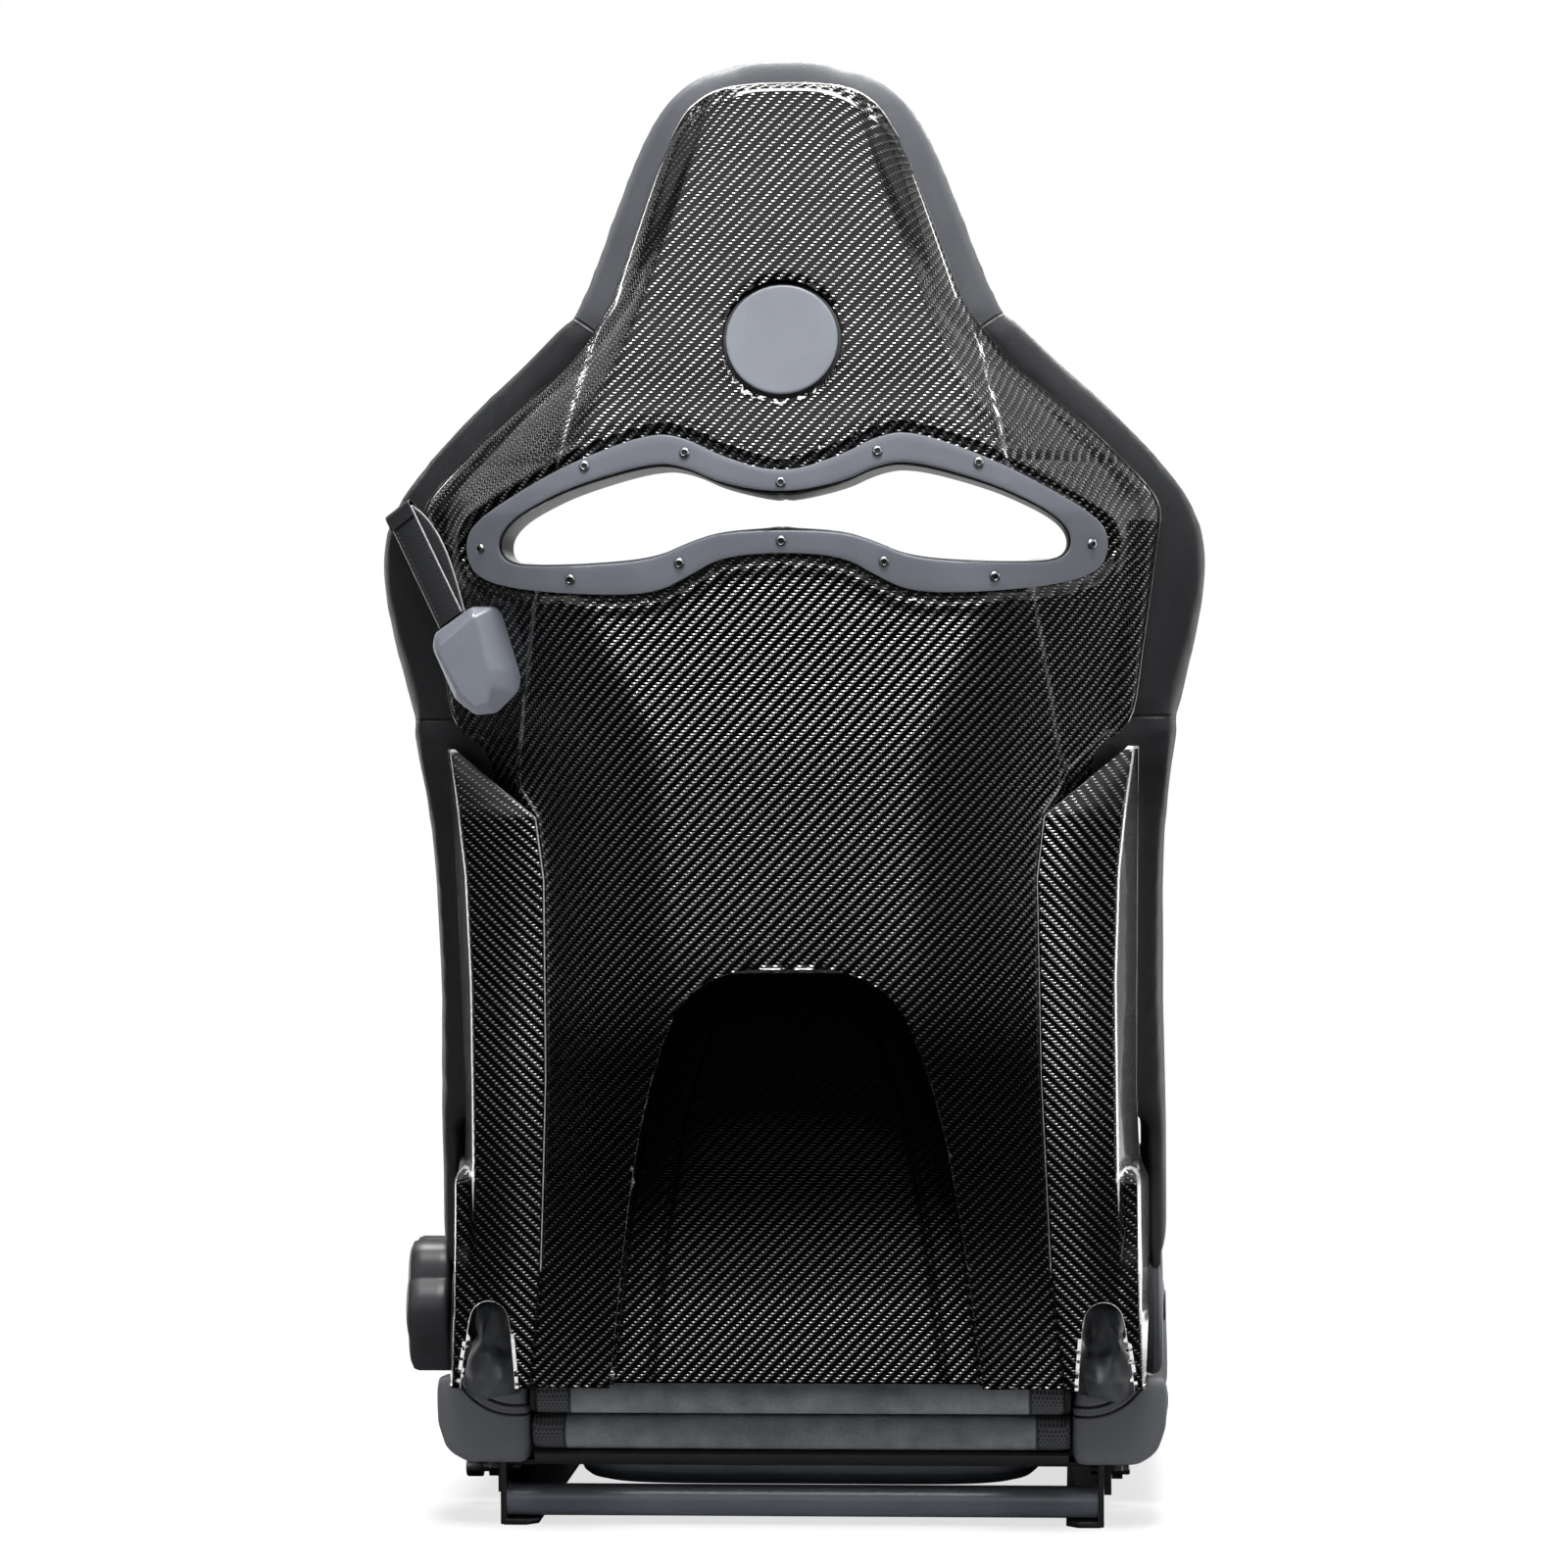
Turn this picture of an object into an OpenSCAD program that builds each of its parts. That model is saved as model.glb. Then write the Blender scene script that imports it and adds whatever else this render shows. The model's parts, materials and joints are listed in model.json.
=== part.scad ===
// Reclining sports seat: moulded back shell, padded backrest and cushion, rotary recliner,
// fold-forward release and bottom-mount side plates. Y points forward, X to the occupant's
// right, Z up. The origin is the centre of the floor bolt pattern, on the mounting face.

/* [Overall] */
// Height from the mounting face to the top of the headrest
seat_h = 993; // [827:1:1192]
// Width across the shoulder bolsters
seat_w = 562; // [468:1:675]

/* [Backrest] */
// Thickness of the moulded shell, panel and side covers
shell_t = 3; // [2:0.1:4]
// Diameter of the round badge disc
badge_d = 74; // [50:1:86]
// Diameter of the tubes of the back frame
frame_d = 20; // [14:0.5:24]
// Head diameter of the bezel screws
screw_head_d = 7.2; // [6:0.1:8]

/* [Recliner] */
// Height of the recliner axis above the mounting face
pivot_z = 145; // [140:1:150]
// Diameter of the hand wheel
knob_d = 100; // [80:1:120]
// Width of the hand wheel along its axis
knob_w = 30; // [20:1:38]
// Number of lobes on the hand wheel
knob_lobes = 6; // [5:1:8]
// Diameter of the synchronising shaft
shaft_d = 12; // [10:0.1:14.4]
// Diameter of the pivot boss that the hinge arm turns on
boss_d = 30; // [24:1:34]

/* [Base] */
// Fore-aft distance between the floor bolt holes
hole_pitch_y = 290; // [240:1:340]
// Lateral distance between the floor bolt holes
hole_pitch_x = 388; // [384:1:392]
// Diameter of the floor bolt holes
hole_d = 8.5; // [6.5:0.1:10.5]
// Thickness of the side plates
plate_t = 4; // [3:0.5:4.5]
// Diameter of the two crossbar tubes
bar_d = 22; // [16:0.5:24]

/* [Strap] */
// Width of the pull strap
strap_w = 20; // [16:1:24]
// Thickness of each layer of the strap
strap_t = 2.4; // [1.8:0.1:3]

/* [Hidden] */

carbon = [0.07, 0.07, 0.075];
leather = [0.09, 0.09, 0.095];
suede = [0.16, 0.16, 0.165];
satin = [0.30, 0.31, 0.33];
steel = [0.05, 0.05, 0.055];
zinc = [0.62, 0.63, 0.65];

// Clearances
soft_gap = 0.8;     // between neighbouring soft parts, half on each
seat_gap = 0.4;     // between a part and the face that carries it
curve_gap = 0.8;    // the same where both faces are curved
turn_gap = 0.3;     // between flat faces that turn past each other
shaft_gap = 0.08;   // radial, shaft in bore
bolt_gap = 0.15;    // radial, bolt in hole

// Shapes are drawn for a seat 993 high and 562 wide and are stretched to the sizes above
drawn_h = 993;
drawn_w = 562;
kx = seat_w / drawn_w;
kz = (seat_h - pivot_z) / (drawn_h - 145);
pivot_y = -160;
function high(z) = z < 145 ? pivot_z + z - 145 : pivot_z + (z - 145) * kz;
function at(x, y, z) = [x * kx, y, high(z)];

function ease(z, table, span = 16) =
    (lookup(z - span, table) + 2 * lookup(z, table) + lookup(z + span, table)) / 4;
function flip(list) = [for (i = [len(list) - 1:-1:0]) list[i]];

// Back shell, [height, value]: half width, width of the flat middle, depth of middle and edge
shell_edge = [[102, 184], [360, 188], [500, 200], [560, 231], [695, 249], [709, 241],
    [748, 203], [769, 178], [794, 148], [831, 118.5], [883, 99], [937, 78], [954, 66], [966, 50]];
shell_flat = [[102, 70], [540, 80], [640, 130], [691, 150], [743, 128], [817, 97], [897, 68],
    [966, 40]];
shell_mid_y = [[102, -281], [240, -308], [389, -340], [540, -368], [691, -384], [760, -377],
    [804, -365], [900, -354], [966, -342]];
shell_rim_y = [[102, -278], [240, -280], [389, -290], [540, -298], [695, -300], [769, -312],
    [831, -324], [908, -332], [966, -336]];
shell_bend = [[640, 1.7], [740, 1.35], [966, 1.25]];
spine = 3;            // the soft crest along the middle of the shell
spine_w = 110;
function shell_w(z) = ease(z, shell_edge, 8);
function shell_y(x, z) =
    let (w = shell_w(z), flat = ease(z, shell_flat), t = max(0, min(1, (abs(x) - flat) / (w - flat))))
    ease(z, shell_mid_y)
    + (ease(z, shell_rim_y) - ease(z, shell_mid_y)) * pow(t, lookup(z, shell_bend))
    - spine * (1 - pow(min(1, abs(x) / spine_w), 1.4));

// Harness slot and its bezel, [x, lower edge, upper edge]
slot_rows = [[0, 678.5, 702], [40, 677, 709], [62, 670, 720], [85, 659.5, 723.5],
    [133, 656, 710], [165, 656, 696], [182, 658, 686], [190, 665, 676]];
bezel_rows = [[0, 664, 714.5], [40, 661, 727], [62, 648, 739], [85, 637, 743], [133, 637, 726],
    [180, 642, 702], [205, 650, 687], [213, 662, 677]];
bezel_t = 3;
bezel_screw_spots = [[0, 709], [63, 729], [129, 721], [202, 669], [139, 647], [67, 657], [0, 671]];

// Arch cut into the lower back of the shell, [height, half width]
arch_rows = [[100, 127], [144, 122], [212, 114], [294, 100], [351, 81], [372, 67], [384, 48],
    [389, 30]];

// Side covers, [height, value]: x of inner edge, crease and flank end, y of crease and end
cover_in_x = [[102, 180], [178, 172], [314, 166], [448, 164], [490, 169], [515, 200], [536, 226]];
cover_fold_x = [[102, 230], [150, 235], [180, 239], [252, 239], [290, 220], [360, 212],
    [452, 215], [494, 220], [536, 230]];
cover_out_x = [[102, 236], [150, 239], [180, 241], [300, 240], [536, 238]];
cover_fold_y = [[102, -284], [200, -284], [250, -290], [389, -306], [490, -313], [536, -306]];
cover_out_y = [[102, -279], [112, -270], [130, -262], [147, -250], [156, -206], [240, -207],
    [389, -238], [500, -266], [536, -290]];

// Padding, [height, value]: half width of the leather, its widest depth, front faces, crest
leather_w = [[150, 250], [274, 250], [360, 248], [459, 249], [540, 256], [579, 264.5], [619, 275],
    [659, 281], [679, 278.5], [699, 271.5], [719, 257], [740, 238], [760, 218.5], [779, 198],
    [797, 178], [817, 157], [834, 143], [853, 133], [892, 118.5], [929, 103], [952, 91.5],
    [969, 79.5], [982, 63], [989, 40], [993, 18]];
leather_y = [[150, -192], [240, -193], [389, -224], [540, -262], [660, -278], [740, -290],
    [834, -304], [929, -312], [993, -316]];
pad_front_y = [[150, -152], [240, -172], [389, -214], [540, -262], [640, -292], [691, -302],
    [760, -297], [850, -276], [930, -268], [975, -282], [993, -305]];
crest_y = [[150, -104], [240, -92], [389, -118], [500, -180], [560, -206], [660, -222],
    [740, -246], [820, -262]];
pad_w = 150;          // half width of the centre padding and of the seat cushion
pad_depth = 50;
lumbar_t = 3;
pad_top_z = 556;      // torso padding meets the slot pad here
slot_pad_w = [[150, 205], [700, 205], [740, 195], [779, 155], [819, 117]];
headrest_z = 820;

// Recliner stack, distances from the seat's centre plane
cover_x = 237 * kx;
stack_w = 29;
web_x = cover_x - stack_w;    // outer face of the side plates
base_x = web_x + turn_gap;
fitting_x = base_x + 11 + turn_gap;
arm_x = fitting_x + 8 + turn_gap;
cover_t = 6;                  // round hinge cover
knob_x = cover_x + 10;
arm_t = 5;
disc_r = 40;
cover_r = 46;
frame_x = pad_w * kx;
frame_levels = [240, 285, 330, 389, 440, 500, 556];
function frame_y(z) = torso_rear_y(z) - 2 * seat_gap - lumbar_t - frame_d / 2;
lower_bar = [frame_y(240), high(240)];
pan_z = 43;
bar_z = bar_d / 2 + plate_t + 1;
bar_y = [-217, 188];
plate_y = [-230, 204];
hole_x = hole_pitch_x / 2 + web_x - 208;

// A closed slab between two matching paths at each height: rings hold the rear path followed
// by the front path backwards.
module slab(rings) {
    n = len(rings[0]);
    half = n / 2;
    rows = len(rings);
    top = (rows - 1) * n;
    sides = [for (r = [0:rows - 2], i = [0:n - 1]) let (j = (i + 1) % n, a = r * n, b = a + n)
        each [[a + i, b + j, a + j], [a + i, b + i, b + j]]];
    ends = [for (i = [0:half - 2]) let (k = n - 1 - i)
        each [[i, i + 1, k - 1], [i, k - 1, k], [top + i, top + k - 1, top + i + 1],
            [top + i, top + k, top + k - 1]]];
    polyhedron(points = [for (ring = rings, p = ring) p], faces = concat(sides, ends));
}

// A skin of the given thickness behind which lies the front of the seat
module skin(rows, thickness) {
    slab([for (row = rows) concat(row, flip([for (p = row) p + [0, thickness, 0]]))]);
}

// A disc or ring whose axis runs along X, from x0 to x1 at the recliner axis
module axle_disc(x0, x1, r, y = pivot_y, z = pivot_z) {
    translate([x0, y, z])
        rotate([0, 90, 0])
            cylinder(h = x1 - x0, r = r, $fn = 64);
}

// The right-hand part, or its mirror image for the left
module side(right) {
    if (right) {
        children();
    } else {
        mirror([1, 0, 0])
            children();
    }
}

// Strips that together fill an opening described by [x, lower, upper] rows, grown by more
module slot_strips(rows, y0, y1, more = 0) {
    for (s = [-1, 1], i = [0:len(rows) - 2])
        hull()
            for (row = [rows[i], rows[i + 1]])
                translate([s * (row.x + (row.x > 180 ? more : 0)) * kx - 0.01, y0,
                    high(row.y) - more])
                    cube([0.02, y1 - y0, high(row.z) - high(row.y) + 2 * more]);
}

function arch_w(z) = lookup(z, arch_rows);

module arch_strips(y0, y1) {
    for (i = [0:len(arch_rows) - 2])
        hull()
            for (row = [arch_rows[i], arch_rows[i + 1]])
                translate([-row.y * kx, y0, high(row.x) - 0.01])
                    cube([2 * row.y * kx, y1 - y0, 0.02]);
}

// ---------------------------------------------------------------- shell and trim

shell_levels = concat([for (z = [102:24:534]) z], [for (z = [552:12:948]) z], [957, 966]);
shell_steps = 12;

// Rows of points on the shell's outer face: [height, points]
shell_rows = [for (z = shell_levels) [z, [for (i = [-shell_steps:shell_steps])
    let (x = i / shell_steps * shell_w(z)) at(x, shell_y(x, z), z)]]];

module back_shell() {
    color(carbon)
        difference() {
            shell_layer(0, 1000, 0, shell_t);
            slot_strips(slot_rows, -400, -250);
            arch_strips(-400, -250);
            badge_seat()
                cylinder(h = 40, d = badge_d + 2 * badge_rim, center = true, $fn = 64);
        }
}

// Places its children on the shell's face at the badge, Z pointing out of the back
badge_z = 804;
badge_rim = 2.6;
module badge_seat() {
    rise = shell_y(0, badge_z + 30) - shell_y(0, badge_z - 30);
    translate([0, shell_y(0, badge_z), high(badge_z)])
        rotate([90 - atan(rise / (60 * kz)), 0, 0])
            children();
}

// Tray behind the arch: a sloping face with side walls that run back to the shell
panel_levels = [for (z = [104:20:384]) z];
function panel_y(z) = -268 - (z - 104) * 0.03;

module lower_center_panel() {
    wall = 2.5;
    lip = 8;
    inward = [[0, 1], [-1, 1], [-1, 1], [0, 1], [0, 1], [1, 1], [1, 1], [0, 1]];
    rows = [for (z = panel_levels) let (w = arch_w(z) - 1.5, y0 = inside_y(w + lip, z), y1 = panel_y(z))
        [at(-w - lip, y0, z), at(-w, y0 - 0.5, z), at(-w, y1, z), at(-w / 3, y1, z),
            at(w / 3, y1, z), at(w, y1, z), at(w, y0 - 0.5, z), at(w + lip, y0, z)]];
    color(carbon)
        slab([for (row = rows) concat(row, flip([for (i = [0:7])
            row[i] + wall * [inward[i].x, inward[i].y, 0]]))]);
}

cover_levels = [102, 112, 130, 147, 156, 168, 190, 215, 240, 265, 300, 340, 389, 430, 460, 490,
    503, 515, 526, 536];

module side_cover(right) {
    rows = [for (z = cover_levels) let (xi = lookup(z, cover_in_x),
        yi = shell_y(xi, z) - shell_t - curve_gap,
        xf = ease(z, cover_fold_x, 6), yf = ease(z, cover_fold_y, 6), xo = lookup(z, cover_out_x),
        yo = lookup(z, cover_out_y))
        [at(xi, yi, z), at((2 * xi + xf) / 3, (2 * yi + yf) / 3 - 1, z),
            at((xi + 2 * xf) / 3, (yi + 2 * yf) / 3 - 1, z), at(xf, yf, z),
            at((xf + xo) / 2, (yf + yo) / 2 - 2, z), at(xo, yo, z)]];
    inward = [[0, 1], [0, 1], [0, 1], [-0.6, 0.9], [-1, 0.3], [-1, 0]];
    color(carbon)
        side(right)
            difference() {
                slab([for (row = rows) concat(row, flip([for (i = [0:5])
                    row[i] + [inward[i].x * shell_t, inward[i].y * shell_t, 0]]))]);
                hull()
                    for (spot = [[203, 100], [214, 100], [203, 156], [214, 156]])
                        translate([spot.x * kx, -350, high(spot.y)])
                            rotate([-90, 0, 0])
                                cylinder(h = 100, r = 10, $fn = 32);
            }
}

module badge_disc() {
    color(satin)
        badge_seat() {
            translate([0, 0, -shell_t])
                cylinder(h = shell_t - 0.5, d = badge_d, $fn = 96);
            translate([0, 0, -shell_t])
                cylinder(h = 1, d = badge_d + 2 * (badge_rim - seat_gap), $fn = 96);
        }
}

// A layer parallel to the shell, offset from its outer face
module shell_layer(low, top, offset_y, thickness) {
    skin([for (row = shell_rows) if (row.x >= low && row.x <= top) [for (p = row.y)
        p + [0, offset_y, 0]]], thickness);
}

module slot_bezel() {
    color(satin)
        intersection() {
            shell_layer(624, 756, -bezel_t - seat_gap, bezel_t);
            difference() {
                slot_strips(bezel_rows, -420, -250);
                slot_strips(slot_rows, -430, -240);
            }
        }
}

module bezel_screws() {
    color(zinc)
        for (s = [-1, 1], spot = bezel_screw_spots)
            if (spot.x > 0 || s > 0) {
                y = shell_y(spot.x, spot.y) - bezel_t - seat_gap - 0.7 * curve_gap;
                turn = atan(shell_y(spot.x + 0.5, spot.y) - shell_y(spot.x - 0.5, spot.y));
                lean = atan(shell_y(spot.x, spot.y + 0.5) - shell_y(spot.x, spot.y - 0.5));
                translate([s * spot.x * kx, y, high(spot.y)])
                    rotate([90 - lean, 0, s * turn])
                        cylinder(h = 2.4, d = screw_head_d, $fn = 32);
            }
}

module slot_liner() {
    wall = 3;
    color(leather)
        difference() {
            intersection() {
                slot_strips(slot_rows, -420, -250, -seat_gap);
                shell_layer(624, 756, seat_gap, 66);
            }
            slot_strips(slot_rows, -430, -240, -seat_gap - wall);
        }
}

// ---------------------------------------------------------------- padding of the backrest

// Front face of the centre padding at a height, dished towards the middle
function front_y(x, z, w) = ease(z, pad_front_y) + 8 * pow(min(1, abs(x) / w), 3);

// The face just in front of the shell, for whatever lies against its inside
function inside_y(x, z) = shell_y(min(abs(x), shell_w(z)), z) + shell_t + curve_gap;
function torso_rear_y(z) = ease(z, pad_front_y) - pad_depth;

module torso_pad() {
    levels = concat([157], [for (z = [180:25:530]) z], [pad_top_z - soft_gap / 2]);
    w = pad_w - soft_gap / 2;
    color(suede)
        slab([for (z = levels)
            concat([for (i = [-5:5]) at(i / 5 * w, torso_rear_y(z), z)],
                flip([for (i = [-5:5]) at(i / 5 * w, front_y(i / 5 * w, z, w), z)]))]);
}

module slot_pad() {
    levels = concat([pad_top_z + soft_gap / 2], [for (z = [580:24:796]) z],
        [headrest_z - soft_gap / 2]);
    rows = [for (z = levels) let (w = lookup(z, slot_pad_w) - soft_gap / 2)
        concat([for (i = [-8:8]) let (x = i / 8 * w)
            at(x, max(inside_y(x, z), ease(z, pad_front_y) - pad_depth), z)],
            flip([for (i = [-8:8]) at(i / 8 * w, front_y(i / 8 * w, z, w), z)]))];
    color(suede)
        difference() {
            slab(rows);
            slot_strips(slot_rows, -420, -200, seat_gap);
            cable_tube(cable_d + 2 * soft_gap);
        }
}

// Leather that wraps round the rim: rear path follows the shell, then rounds the side
function wrap_rear(x, z, w) =
    let (t = abs(x) / w, mid = ease(z, leather_y), rear = ease(z, shell_rim_y))
    max(abs(x) < shell_w(z) + 7 ? shell_y(min(abs(x), shell_w(z)), z) + shell_t + curve_gap : -999,
        mid + (rear - mid) * sqrt(max(0, 1 - pow(t, 6))));
function wrap_front(x, z, w) =
    let (mid = ease(z, leather_y), front = ease(z, pad_front_y))
    mid + (front - mid) * pow(max(0, 1 - pow(abs(x) / w, 4)), 0.45);

module headrest_pad() {
    levels = concat([for (z = [headrest_z:14:960]) z], [966, 970, 976, 982, 987, 991, 993]);
    steps = 14;
    rows = [for (z = levels) let (w = ease(z, leather_w, 3))
        concat([for (i = [-steps:steps]) let (x = w * sin(90 * i / steps))
            at(x, min(wrap_rear(x, z, w), wrap_front(x, z, w) - 0.6), z)],
            flip([for (i = [-steps:steps]) let (x = w * sin(90 * i / steps))
                at(x, wrap_front(x, z, w), z)]))];
    color(leather)
        slab(rows);
}

module shoulder_pad(right) {
    levels = concat([pad_top_z + soft_gap / 2], [for (z = [576:18:808]) z],
        [headrest_z - soft_gap / 2]);
    steps = 8;
    rows = [for (z = levels)
        let (w = ease(z, leather_w, 6), x0 = lookup(z, slot_pad_w) + soft_gap / 2,
            mid = ease(z, leather_y), inner = ease(z, pad_front_y) + 8, crest = ease(z, crest_y))
        concat([for (i = [0:steps]) let (x = x0 + (w - x0) * sin(90 * i / steps))
            at(x, min(wrap_rear(x, z, w), mid - 0.3), z)],
            flip([for (i = [0:steps]) let (x = x0 + (w - x0) * sin(90 * i / steps),
                t = (x - x0) / (w - x0), round = pow(max(0, 1 - pow(t, 4)), 0.5))
                at(x, mid + (inner + (crest - inner) * sin(90 * min(1, 1.6 * t)) - mid) * round
                    + 0.3, z)]))];
    color(leather)
        difference() {
            side(right)
                slab(rows);
            if (!right)
                cable_tube(cable_d + 2 * soft_gap);
        }
}

module torso_bolster(right) {
    levels = concat([157], [for (z = [175:25:530]) z], [pad_top_z - soft_gap / 2]);
    rows = [for (z = levels)
        let (w = ease(z, leather_w), rear = torso_rear_y(z) - lumbar_t,
            out = lookup(z, cover_out_y) + 3, inner = ease(z, pad_front_y) + 6,
            crest = ease(z, crest_y), x0 = pad_w + soft_gap / 2,
            flank = max(rear, out, inside_y(235, z)))
        concat([at(x0, max(rear, inside_y(x0, z) + 1), z), at(178, max(rear, inside_y(178, z) + 1), z),
            at(200, max(rear, inside_y(200, z)) + 3, z),
            at(220, max((rear + flank) / 2, inside_y(220, z)) + 3, z),
            at(235, flank + 2, z), at(w - 3, flank + 2, z), at(w, flank + 12, z)],
            flip([at(x0, inner, z), at(168, inner + (crest - inner) * 0.5, z),
                at(188, inner + (crest - inner) * 0.9, z), at(208, crest, z), at(228, crest - 6, z),
                at(w - 4, crest - 26, z), at(w, max(crest - 56, flank + 13), z)]))];
    color(leather)
        side(right)
            difference() {
                slab(rows);
                translate([202 * kx, -330, 0])
                    cube([cover_x - 202 * kx, 330 - 108, high(284)]);
                axle_disc(cover_x - 10, cover_x + 40, cover_r + 2);
                if (!right)
                    axle_disc(knob_x - 2, knob_x + knob_w, knob_d / 2 + 2);
                mirror([1, 0, 0])
                    cable_tube(cable_d + 2 * soft_gap);
            }
}

// ---------------------------------------------------------------- back frame

module frame_upright(right) {
    spots = [for (z = frame_levels) [frame_x, frame_y(z), high(z)]];
    along = (spots[1] - spots[0]) / norm(spots[1] - spots[0]);
    foot = spots[0] + along * (frame_d / 2 + 1.5);
    color(steel)
        side(right)
            tube_along(concat([foot], [for (i = [1:len(spots) - 1]) spots[i]]), frame_d, 16);
}

module frame_lower_bar() {
    color(steel)
        axle_disc(-arm_x, arm_x, frame_d / 2, lower_bar.x, lower_bar.y);
}

module frame_upper_bar() {
    reach = frame_x - frame_d / 2 - seat_gap;
    color(steel)
        axle_disc(-reach, reach, frame_d / 2 - 3, frame_y(530), high(530));
}

// Posts that carry the moulded shell on the back frame
module shell_posts() {
    color(steel)
        difference() {
            intersection() {
                for (s = [-1, 1], z = [300, 536])
                    translate([s * frame_x, frame_y(z), high(z)])
                        rotate([90, 0, 0])
                            cylinder(h = 100, r = 7, $fn = 32);
                shell_layer(200, 600, shell_t + curve_gap, 120);
            }
            for (s = [0, 1])
                side(s == 1)
                    tube_along([for (z = frame_levels) [frame_x, frame_y(z), high(z)]],
                        frame_d + 2 * seat_gap, 16);
        }
}

module lumbar_panel() {
    color(steel)
        skin([for (z = [262:22:372]) [for (i = [-4:4])
            at(i / 4 * (pad_w - 1), torso_rear_y(z) - seat_gap - lumbar_t, z)]], lumbar_t);
}

module hinge_arm(right) {
    bore = boss_d / 2 + shaft_gap;
    color(steel)
        side(right)
            difference() {
                union() {
                    axle_disc(arm_x, arm_x + arm_t, 34);
                    hull() {
                        axle_disc(arm_x, arm_x + arm_t, 26);
                        axle_disc(arm_x, arm_x + arm_t, 15, lower_bar.x, lower_bar.y);
                    }
                    if (!right)
                        axle_disc(arm_x - 8, arm_x + arm_t, pawl_pin_r, pawl_pin.x, pawl_pin.y);
                }
                axle_disc(arm_x - 1, arm_x + arm_t + 1, bore);
            }
}

// Release cable from the strap, behind the shoulder leather and down to the pawl
cable_d = 4;
cable_spots = [[-250, -290, 690], [-244, -290, 668], [-232, -298, 640], [-214, -308, 610],
    [-196, -310, 580], [-182, -308, 545], [-178, -300, 500], [-178, -286, 445], [-178, -273, 389],
    [-178, -256, 330], [-188, -246, 302], [-206, -236, 284], [-219, -226, 272], [-222, -216, 260],
    [-222, -216, 240]];

module tube_along(spots, d, sides = 8) {
    count = len(spots);
    rings = [for (k = [0:count - 1]) let (p = spots[k],
        dir = spots[min(k + 1, count - 1)] - spots[max(k - 1, 0)],
        t = dir / norm(dir), u = cross(t, [1, 0, 0]) / norm(cross(t, [1, 0, 0])), v = cross(t, u))
        [for (i = [0:sides - 1]) p + d / 2 * (cos(360 * i / sides) * u + sin(360 * i / sides) * v)]];
    faces = concat([[for (i = [0:sides - 1]) i]],
        [for (k = [0:count - 2], i = [0:sides - 1]) let (a = k * sides, j = (i + 1) % sides)
            each [[a + i, a + sides + i, a + sides + j], [a + i, a + sides + j, a + j]]],
        [[for (i = [sides - 1:-1:0]) (count - 1) * sides + i]]);
    polyhedron(points = [for (ring = rings, p = ring) p], faces = faces);
}

module release_cable() {
    color(steel)
        cable_tube(cable_d);
}

module cable_tube(d) {
    tube_along([for (p = cable_spots) at(p.x, p.y, p.z)], d);
}

// ---------------------------------------------------------------- recliner

module recliner_fitting(right) {
    color(zinc)
        side(right)
            difference() {
                union() {
                    axle_disc(fitting_x, fitting_x + 8, disc_r);
                    axle_disc(fitting_x, arm_x + arm_t + 1, boss_d / 2);
                }
                axle_disc(fitting_x - 1, arm_x + arm_t + 2, shaft_d / 2 + shaft_gap);
            }
}

module hinge_base(right) {
    color(steel)
        side(right)
            difference() {
                union() {
                    axle_disc(base_x, base_x + 5, disc_r + 4);
                    axle_disc(base_x, base_x + 11, disc_r - 2);
                    translate([base_x, -200, 18])
                        cube([5, 82, pivot_z - 18]);
                }
                axle_disc(base_x - 1, base_x + 12, shaft_d / 2 + shaft_gap);
                for (spot = bolt_spots)
                    axle_disc(base_x - 1, base_x + 12, 4 + bolt_gap, spot.x, spot.y);
            }
}

// Round cover clipped over the hinge, on a collar that stands on the hinge arm
module hinge_cover(right) {
    hub_r = boss_d / 2 + 1.5;
    color(steel)
        side(right)
            difference() {
                union() {
                    axle_disc(cover_x + 1, cover_x + cover_t, cover_r);
                    axle_disc(arm_x + arm_t, cover_x + 2, hub_r + 8);
                }
                axle_disc(arm_x, cover_x + cover_t + 1, hub_r);
            }
}

bolt_spots = [[-186, 34], [-132, 34]];

module hinge_bolts() {
    color(zinc)
        for (s = [0, 1], spot = bolt_spots)
            side(s == 1) {
                axle_disc(web_x - plate_t - 5, base_x + 18, 4, spot.x, spot.y);
                axle_disc(base_x + 5, base_x + 13, 7.5, spot.x, spot.y);
                if (s == 0)
                    axle_disc(base_x + 17, base_x + 29, 7.5, spot.x, spot.y);
            }
}

// Pawl on the left hinge arm: it drops against the rim of the recliner fitting
pawl_pin = [pivot_y - 45, pivot_z + 56];
pawl_pin_r = 3;
pawl_nose = [pivot_y - 12, pivot_z + disc_r + 5];

module release_pawl() {
    x0 = fitting_x + 1;
    color(zinc)
        side(false)
            difference() {
                union() {
                    hull() {
                        axle_disc(x0, x0 + 6, 9, pawl_pin.x, pawl_pin.y);
                        axle_disc(x0, x0 + 6, 4, pawl_nose.x, pawl_nose.y);
                    }
                    hull() {
                        axle_disc(x0, x0 + 6, 7, pawl_pin.x, pawl_pin.y);
                        axle_disc(x0, x0 + 6, 3, pawl_pin.x - 14, pawl_pin.y + 16);
                    }
                }
                axle_disc(x0 - 1, x0 + 8, pawl_pin_r + shaft_gap, pawl_pin.x, pawl_pin.y);
            }
}

module recliner_knob() {
    r = knob_d / 2;
    lobe = r * 0.3;
    color(steel)
        side(false)
            difference() {
                union() {
                    axle_disc(knob_x, knob_x + knob_w, r - 7);
                    for (i = [0:knob_lobes - 1])
                        axle_disc(knob_x, knob_x + knob_w, lobe,
                            pivot_y + (r - lobe) * cos(360 * i / knob_lobes),
                            pivot_z + (r - lobe) * sin(360 * i / knob_lobes));
                }
                axle_disc(knob_x - 1, knob_x + 14, shaft_d / 2);
            }
}

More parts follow.
